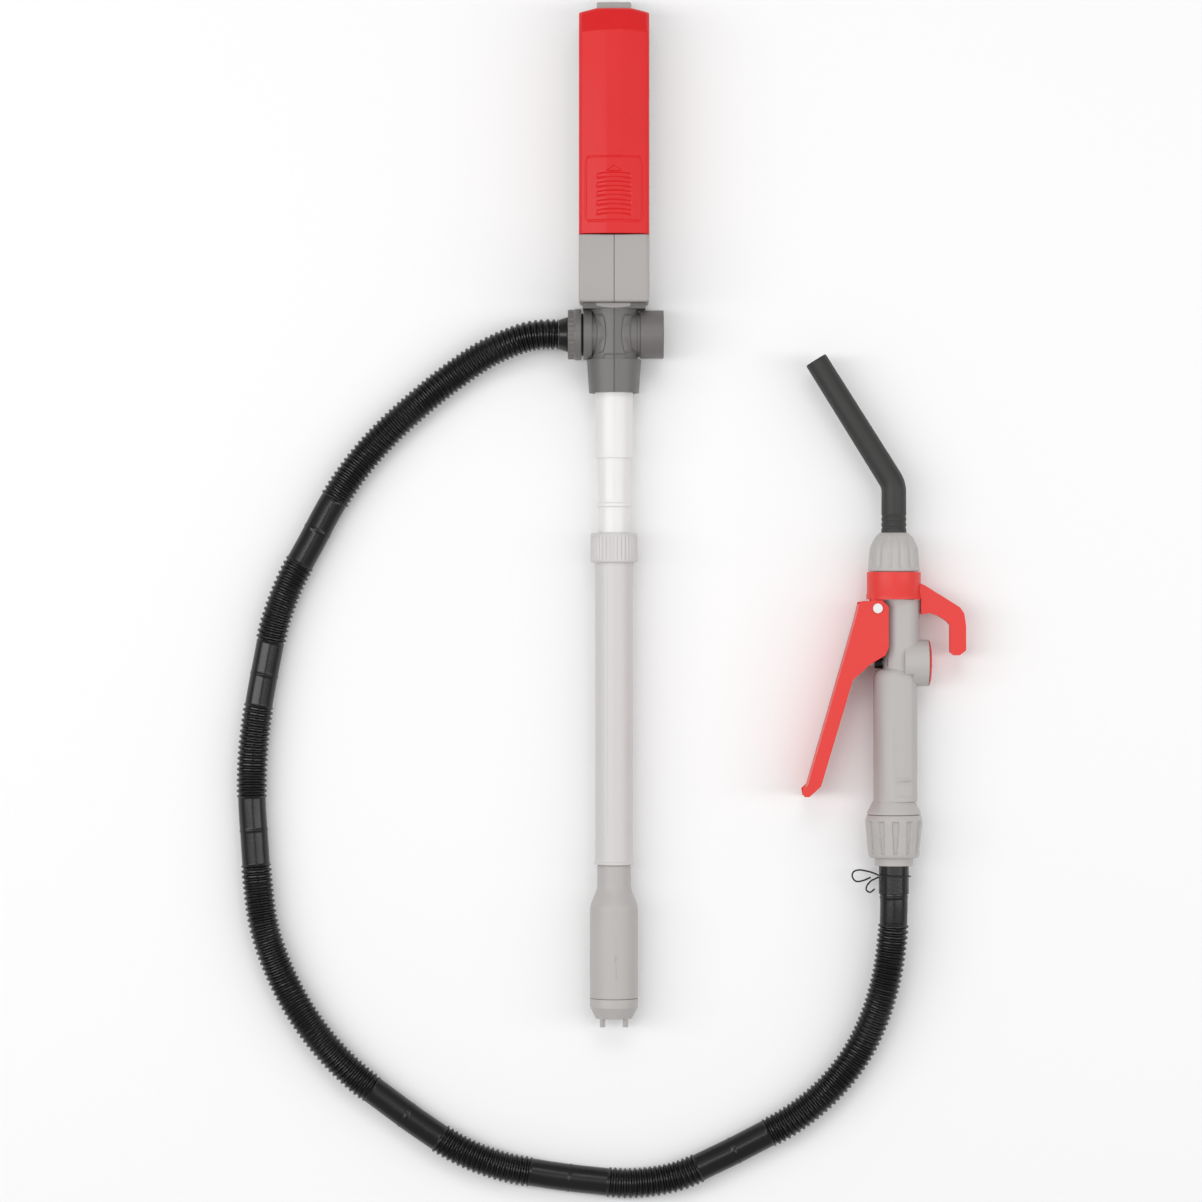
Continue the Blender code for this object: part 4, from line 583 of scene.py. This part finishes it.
def barrelFace(x, y):
    # Height of the tee's front: the higher of the upright barrel and the cross barrel
    upright = np.sqrt(np.maximum(teeSize["upright"] ** 2 - x**2, 0))
    across = np.sqrt(np.maximum(teeSize["across"] ** 2 - (y - teeSize["y"]) ** 2, 0))
    return teeSize["height"] + np.maximum(upright, across)


def closedPatch(name, x, y, top, bottom):
    # Two sheets over the same grid, joined round their edge
    down, across = x.shape
    upper = np.stack([x, y, top], axis=-1).reshape(-1, 3)
    lower = np.stack([x, y, bottom], axis=-1).reshape(-1, 3)
    index = np.arange(down * across).reshape(down, across)
    quads = np.stack([index[:-1, :-1], index[:-1, 1:], index[1:, 1:], index[1:, :-1]], axis=-1).reshape(-1, 4)
    rim = np.concatenate([index[0, :], index[1:, -1], index[-1, -2::-1], index[-2:0:-1, 0]])
    walls = np.stack([rim, np.roll(rim, -1), np.roll(rim, -1) + down * across, rim + down * across], axis=-1)
    faces = np.concatenate([quads, quads[:, ::-1] + down * across, walls])
    return finishedMesh(name, np.concatenate([upper, lower]), faces, 40.0)


def makeTeeDetails():
    across = np.linspace(-1, 1, 13)[None, :]
    for number, band in enumerate(teeBands):
        offset = teeSize["bandReach"] * np.linspace(-1, 1, 60)[:, None] + 0 * across
        y = teeSize["y"] + offset
        bow = 1 - (offset / teeSize["bandReach"]) ** 2
        x = band["x"] + band["bow"] * bow + band["halfWidth"] * across
        ends = np.clip((teeSize["bandReach"] - np.abs(offset)) / 0.0016, 0, 1) ** 0.5
        face = barrelFace(x, y)
        top = face + band["lift"] * np.sqrt(np.maximum(1 - across**4, 0)) * ends - 0.0001
        mesh = closedPatch(f"teeBand{number}", x, y, top, face - teeSize["bandSink"])
        node = "head_shell_left" if band["x"] < 0 else "head_shell_right"
        keepPiece(f"teeBand{number}", mesh, bodyOfNode[node], "case_grey", (), teeGrey)
    # Thin case-grey patch over the neck: a painted highlight where the neck recess catches the light
    x = np.linspace(neckHighlightBand["left"], neckHighlightBand["right"], 40)[None, :] + np.zeros((8, 1))
    share = np.linspace(0, 1, 8)[:, None]
    low = neckHighlightBand["middleBottom"] + (neckHighlightBand["endBottom"] - neckHighlightBand["middleBottom"]) * (x / 0.0105) ** 2
    y = neckHighlightBand["top"] + (low - neckHighlightBand["top"]) * share
    mesh = closedPatch("neckHighlightBand", x, y, 0 * x + neckHighlightBand["face"], 0 * x + neckHighlightBand["face"] - 0.0006)
    keepPiece("neckHighlightBand", mesh, bodyOfNode["head_shell_left"], "case_grey")
    angle = np.linspace(0, 2 * np.pi, 96, endpoint=False)[:, None]
    tube = np.linspace(0, 2 * np.pi, 10, endpoint=False)[None, :]
    straight = slotFrame["halfLength"] - slotFrame["halfHeight"]
    ringX = slotFrame["halfHeight"] * np.cos(angle) + straight * np.tanh(6 * np.cos(angle)) + 0.0005
    ringY = slotFrame["y"] + slotFrame["halfHeight"] * np.sin(angle)
    x = ringX + 0.0004 * np.cos(tube) * np.cos(angle)
    y = ringY + 0.0004 * np.cos(tube) * np.sin(angle)
    z = barrelFace(ringX, ringY) + 0.0005 * np.sin(tube)
    mesh = gridMesh("teeSlotFrame", np.stack([x, y, z], axis=-1), wrapDown=True, sharp=60.0)
    keepPiece("teeSlotFrame", mesh, bodyOfNode["head_shell_left"], "case_grey", (), teeGrey)


# Battery cover: a draped sheet with a crowned face, a grooved frame, an arrow and grip ribs

coverSize = {
    "halfWidth": 0.0210, "edge": 0.0024, "crown": 0.0040, "flatHalf": 0.0042, "slopeStart": 0.0141, "slopeDrop": 0.0070,
    "shoulder": 0.0104, "shoulderDrop": 0.0024, "wall": 0.0018,
}
gripPanel = {
    "halfWidth": 0.0173, "top": 0.0004, "bottom": -0.0386, "corner": 0.0030, "grooveWidth": 0.0009, "depth": 0.0004,
}
gripRibs = {
    "places": [-0.0109, -0.0162, -0.0215, -0.0270, -0.0325],
    "halfLength": 0.0102, "halfWidth": 0.0013, "height": 0.0007, "sag": 0.0009,
}
gripArrow = {"tip": -0.0052, "foot": -0.0086, "halfWidth": 0.0052, "height": 0.0006}


def coverHeight(x, y, top, face):
    # Face height: a crowned plane, lowered on the slope, less the groove, plus the ribs and the arrow
    half = coverSize["halfWidth"]
    flank = np.maximum(np.abs(x) - coverSize["flatHalf"], 0) / (half - coverSize["flatHalf"])
    height = face - coverSize["crown"] * flank**1.35
    slope = np.maximum(0, y - (top - coverSize["slopeStart"])) / coverSize["slopeStart"]
    height = height - coverSize["slopeDrop"] * slope
    middle = (gripPanel["top"] + gripPanel["bottom"]) / 2
    reachY = (gripPanel["top"] - gripPanel["bottom"]) / 2
    corner = gripPanel["corner"]
    outX = np.abs(x) - gripPanel["halfWidth"] + corner
    outY = np.abs(y - middle) - reachY + corner
    distance = np.hypot(np.maximum(outX, 0), np.maximum(outY, 0)) + np.minimum(np.maximum(outX, outY), 0) - corner
    height = height - gripPanel["depth"] * window(distance, -gripPanel["grooveWidth"], 0.0, 0.0005)
    for place in gripRibs["places"]:
        sag = gripRibs["sag"] * (x / gripRibs["halfLength"]) ** 2
        rib = window(y + sag - place, -gripRibs["halfWidth"], gripRibs["halfWidth"], 0.0010)
        rib = rib * window(x, -gripRibs["halfLength"], gripRibs["halfLength"], 0.0012)
        height = height - gripRibs["height"] * rib
    above = y - gripArrow["foot"]
    arrow = window(y, gripArrow["foot"], gripArrow["tip"], 0.0006)
    arrow = arrow * np.clip((gripArrow["halfWidth"] - np.abs(x) - above * 1.5) / 0.0006, 0, 1)
    return height - gripArrow["height"] * arrow


def makeCover():
    # A sheet over a grid in x and y, dropped at its sides and top, then given a wall
    low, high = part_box("battery_cover")
    half, edge = coverSize["halfWidth"], coverSize["edge"]
    top, bottom, face, back = high[1], low[1], high[2], low[2]
    sideRound = edge * (1 - np.cos(np.linspace(0, np.pi / 2, 7)))
    flat = np.linspace(-half + edge, half - edge, 130)[1:-1]
    columns = np.concatenate([[-half], -half + sideRound, flat, half - sideRound[::-1], [half]])
    topRound = top - edge + edge * np.sin(np.linspace(0, np.pi / 2, 8))[1:]
    rows = np.concatenate([np.linspace(bottom, top - edge, 330), topRound, [top]])
    x, y = np.meshgrid(columns, rows)
    shoulder = coverSize["shoulder"]
    cornerDrop = coverSize["shoulderDrop"] * np.clip((np.abs(x) - shoulder) / (half - shoulder), 0, 1)
    nearTop = np.clip((y - (top - 0.02)) / 0.02, 0, 1)
    z = coverHeight(x, y, top, face)
    sideStep = np.clip((np.abs(x) - (half - edge)) / edge, 0, 1)
    endStep = np.clip((y - (top - edge)) / edge, 0, 1)
    z = z - edge * (1 - np.sqrt(1 - sideStep**2)) - edge * 0.7 * (1 - np.sqrt(1 - endStep**2))
    z[:, 0] = z[:, -1] = back
    z[-1, :] = back
    y = y - cornerDrop * nearTop
    down, across = x.shape
    index = np.arange(down * across).reshape(down, across)
    quads = np.stack([index[:-1, :-1], index[:-1, 1:], index[1:, 1:], index[1:, :-1]], axis=-1).reshape(-1, 4)
    points = np.stack([x, y, z], axis=-1).reshape(-1, 3)
    mesh = finishedMesh("coverSkin", points, quads, 40.0)
    cover = keepPiece("coverSkin", mesh, bodyOfNode["battery_cover"], "red_plastic", ("battery_cover",))
    wall = cover.modifiers.new("wall", "SOLIDIFY")
    wall.thickness = coverSize["wall"]
    wall.offset = -1.0
    return cover


# Nozzle

nozzleCentre = centreOf("nozzle_nut")
spoutSize = {
    "straight": 0.0401, "reachX": 0.0468, "reachY": 0.0749, "bend": 0.0150, "base": 0.0076, "taper": 0.0007,
    "flange": 0.0116, "bore": 0.0055, "ribs": (0.0145, 0.0178, 0.0211),
}


def makeSpout():
    # Circles square to a straight line, an arc and a slanted line, outside one way and back along the bore
    base = np.array([nozzleCentre[0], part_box("spout")[0][1], nozzleCentre[2]])
    corner = base + [0, spoutSize["straight"], 0]
    tip = corner + [-spoutSize["reachX"], spoutSize["reachY"], 0]
    slant = (tip - corner) / np.linalg.norm(tip - corner)
    turn = math.acos(slant[1])
    bend = spoutSize["bend"]
    run = bend * math.tan(turn / 2)
    hub = corner - [bend, run, 0]
    swing = np.linspace(0, turn, 14)
    curve = np.stack([hub[0] + bend * np.cos(swing), hub[1] + bend * np.sin(swing), 0 * swing + base[2]], axis=-1)
    corners = np.vstack([base, curve, tip])
    reach = np.concatenate([[0], np.cumsum(np.linalg.norm(np.diff(corners, axis=0), axis=1))])
    along = np.linspace(0, reach[-1], 260)
    centres = np.stack([np.interp(along, reach, corners[:, i]) for i in range(3)], axis=-1)
    outer = spoutSize["base"] - spoutSize["taper"] * along / along[-1]
    for rib in spoutSize["ribs"]:
        outer = outer - 0.0004 * np.exp(-(((along - rib) / 0.0007) ** 2))
    outer = outer - 0.0006 * np.clip((along - along[-1] + 0.0006) / 0.0006, 0, 1)
    flange = window(along, -0.01, 0.0018, 0.0003)
    outer = outer * (1 - flange) + spoutSize["flange"] * flange
    inner = 0 * along + spoutSize["bore"]
    loopCentres = np.vstack([centres, centres[::-1]])
    loopRadii = np.concatenate([outer, inner])
    ahead = np.gradient(centres, axis=0)
    ahead /= np.linalg.norm(ahead, axis=1)[:, None]
    ahead = np.vstack([ahead, ahead[::-1]])
    sideways = np.cross(ahead, [0, 0, 1.0])
    angle = np.linspace(0, 2 * np.pi, 72, endpoint=False)[None, :, None]
    ringShape = np.cos(angle) * sideways[:, None, :] + np.sin(angle) * np.array([0, 0, 1.0])
    points = loopCentres[:, None, :] + ringShape * loopRadii[:, None, None]
    mesh = gridMesh("spoutPipe", points, wrapDown=True, sharp=40.0)
    keepPiece("spoutPipe", mesh, bodyOfNode["spout"], "charcoal", ("spout",))


def makeNozzleNuts():
    low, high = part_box("spout_nut")
    bottom, top = low[1], high[1]

    def spoutRelief(angle, along, radius):
        share = np.clip((top - along) / (top - bottom), 0, 1)
        flute = (0.5 + 0.5 * np.cos(angle * 14)) ** 3
        band = window(along, bottom + 0.0022, top - 0.0024, 0.0016)
        return np.where(radius > 0.0100, -0.0011 * flute * band * (0.5 + share * 0.5), 0)

    profile = [
        (0.0085, top), (0.0112, top - 0.0026), (0.0134, top - 0.0064), (0.0145, top - 0.0094),
        (0.0155, bottom + 0.0012), (0.0152, bottom), (0.0126, bottom), (0.0126, top - 0.0080),
        (0.0078, top - 0.0064), (0.0078, top),
    ]
    mesh = turnedPiece("spoutNut", profile, nozzleCentre, "y", 252, 0.0006, 0.0009, spoutRelief)
    keepPiece("spoutNut", mesh, bodyOfNode["spout_nut"], "light_grey", ("spout_nut",))

    low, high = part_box("nozzle_nut")
    bottom, top = low[1], high[1]

    def hoseRelief(angle, along, radius):
        share = np.clip((top - along) / (top - bottom), 0, 1)
        spread = 0.55 - 0.25 * share
        turn = np.abs(((angle * 12 / (2 * np.pi)) % 1) - 0.5) * 2
        flute = np.clip((turn - (1 - spread)) / 0.12, 0, 1)
        band = window(along, bottom + 0.0024, top - 0.0040, 0.0012)
        return np.where(radius > 0.0138, -0.0013 * flute * band, 0)

    profile = [
        (0.0160, top), (0.0172, top - 0.0036), (0.0152, bottom + 0.0014), (0.0144, bottom),
        (0.0117, bottom), (0.0117, bottom + 0.0018), (0.0129, bottom + 0.0018), (0.0129, top),
    ]
    mesh = turnedPiece("hoseEndNut", profile, nozzleCentre, "y", 288, 0.0007, 0.0009, hoseRelief)
    keepPiece("hoseEndNut", mesh, bodyOfNode["nozzle_nut"], "light_grey", ("nozzle_nut",))

    low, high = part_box("nozzle_ferrule")
    profile = [
        (0.0072, high[1]), (0.0125, high[1]), (0.0125, high[1] - 0.0018), (0.0114, high[1] - 0.0020),
        (0.0114, low[1]), (0.0092, low[1]), (0.0092, high[1] - 0.0018), (0.0072, high[1] - 0.0018),
    ]
    mesh = turnedPiece("hoseFerrule", profile, nozzleCentre, "y", 96, 0.0004, 0.003)
    keepPiece("hoseFerrule", mesh, bodyOfNode["nozzle_ferrule"], "light_grey", ("nozzle_ferrule",))


wireSize = {"radius": 0.0005, "around": 12, "step": 0.0004, "gap": 0.0004}


def makeWireClip():
    # One turn round the cuff with a loop at each end, on one smooth curve
    low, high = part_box("nozzle_cuff")
    centre = centreOf("nozzle_cuff")
    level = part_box("nozzle_ferrule")[0][1] - 0.0056
    reach = (high[2] - low[2]) / 2 + wireSize["radius"] + wireSize["gap"]
    left = centre[0] - reach
    upper = [
        (-0.0040, -0.0014, 0.0016), (-0.0088, -0.0034, 0.0016), (-0.0128, -0.0038, 0.0016), (-0.0150, -0.0012, 0.0016),
        (-0.0144, 0.0018, 0.0016), (-0.0108, 0.0030, 0.0016), (-0.0050, 0.0020, 0.0016), (-0.0014, 0.0008, 0.0022),
    ]
    turn = np.radians(165 - 330 * np.linspace(0, 1, 25))
    lower = [
        (-0.0012, -0.0026, -0.0026), (-0.0036, -0.0038, -0.0024), (-0.0060, -0.0066, -0.0024),
        (-0.0064, -0.0092, -0.0024), (-0.0042, -0.0106, -0.0024), (-0.0014, -0.0086, -0.0024),
    ]
    ends = np.array([left, level, centre[2]])
    ring = np.stack([
        centre[0] + reach * np.cos(turn), level - 0.0018 * np.linspace(0, 1, 25), centre[2] + reach * np.sin(turn),
    ], axis=-1)
    route = np.vstack([ends + upper, ring, ends + lower])
    centres = evenRoute(route, wireSize["step"])[0]
    ahead = np.gradient(centres, axis=0)
    ahead /= np.linalg.norm(ahead, axis=1)[:, None]
    across = np.tile([0.0, 0.0, 1.0], (len(centres), 1))
    for row in range(1, len(centres)):  # each cross direction is the one before it, set square to the wire
        carried = across[row - 1] - ahead[row] * np.dot(across[row - 1], ahead[row])
        across[row] = carried / np.linalg.norm(carried)
    side = np.cross(ahead, across)
    angle = np.linspace(0, 2 * np.pi, wireSize["around"], endpoint=False)[None, :, None]
    ringShape = np.cos(angle) * side[:, None, :] + np.sin(angle) * across[:, None, :]
    points = centres[:, None, :] + wireSize["radius"] * ringShape
    firstTip, lastTip = (np.repeat(centres[i][None, None, :], wireSize["around"], axis=1) for i in (0, -1))
    points = np.concatenate([firstTip, points, lastTip], axis=0)
    mesh = gridMesh("clipWire", points, wrapDown=False, sharp=60.0)
    keepPiece("clipWire", mesh, bodyOfNode["wire_clip"], "black_wire", ("wire_clip",))


def makeNozzle():
    softCopy("nozzle_body", 0.0004, "nozzleBody")
    softCopy("hook_collar", 0.0016, "hookCollar", coralPlastic, segments=4)
    softCopy("trigger", 0.0010, "triggerArm", coralPlastic, segments=3)
    low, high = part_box("boss_cap")
    centre = centreOf("boss_cap")
    face = high[0] - 0.0023
    profile = [
        (0.0, high[0]), (0.0040, high[0] - 0.0001), (0.0080, high[0] - 0.0004), (0.0112, high[0] - 0.0009),
        (0.0134, high[0] - 0.0016), (0.0137, face + 0.0003), (0.0067, face + 0.0003), (0.0067, low[0]), (0.0, low[0]),
    ]
    mesh = turnedPiece("valveCap", profile, centre, "x", 96, 0.0005, 0.002, closed=False)
    keepPiece("valveCap", mesh, bodyOfNode["boss_cap"], "red_plastic", ("boss_cap",), coralPlastic)
    makeSpout()
    makeNozzleNuts()
    makeWireClip()


addCamera()
addStudio()
print("camera, lights and floor")
makeHose()
makeColumn()
print("column")
makeTee()
makeTeeDetails()
print("tee and case")
makeCover()
print("cover")
makeNozzle()
print("nozzle")
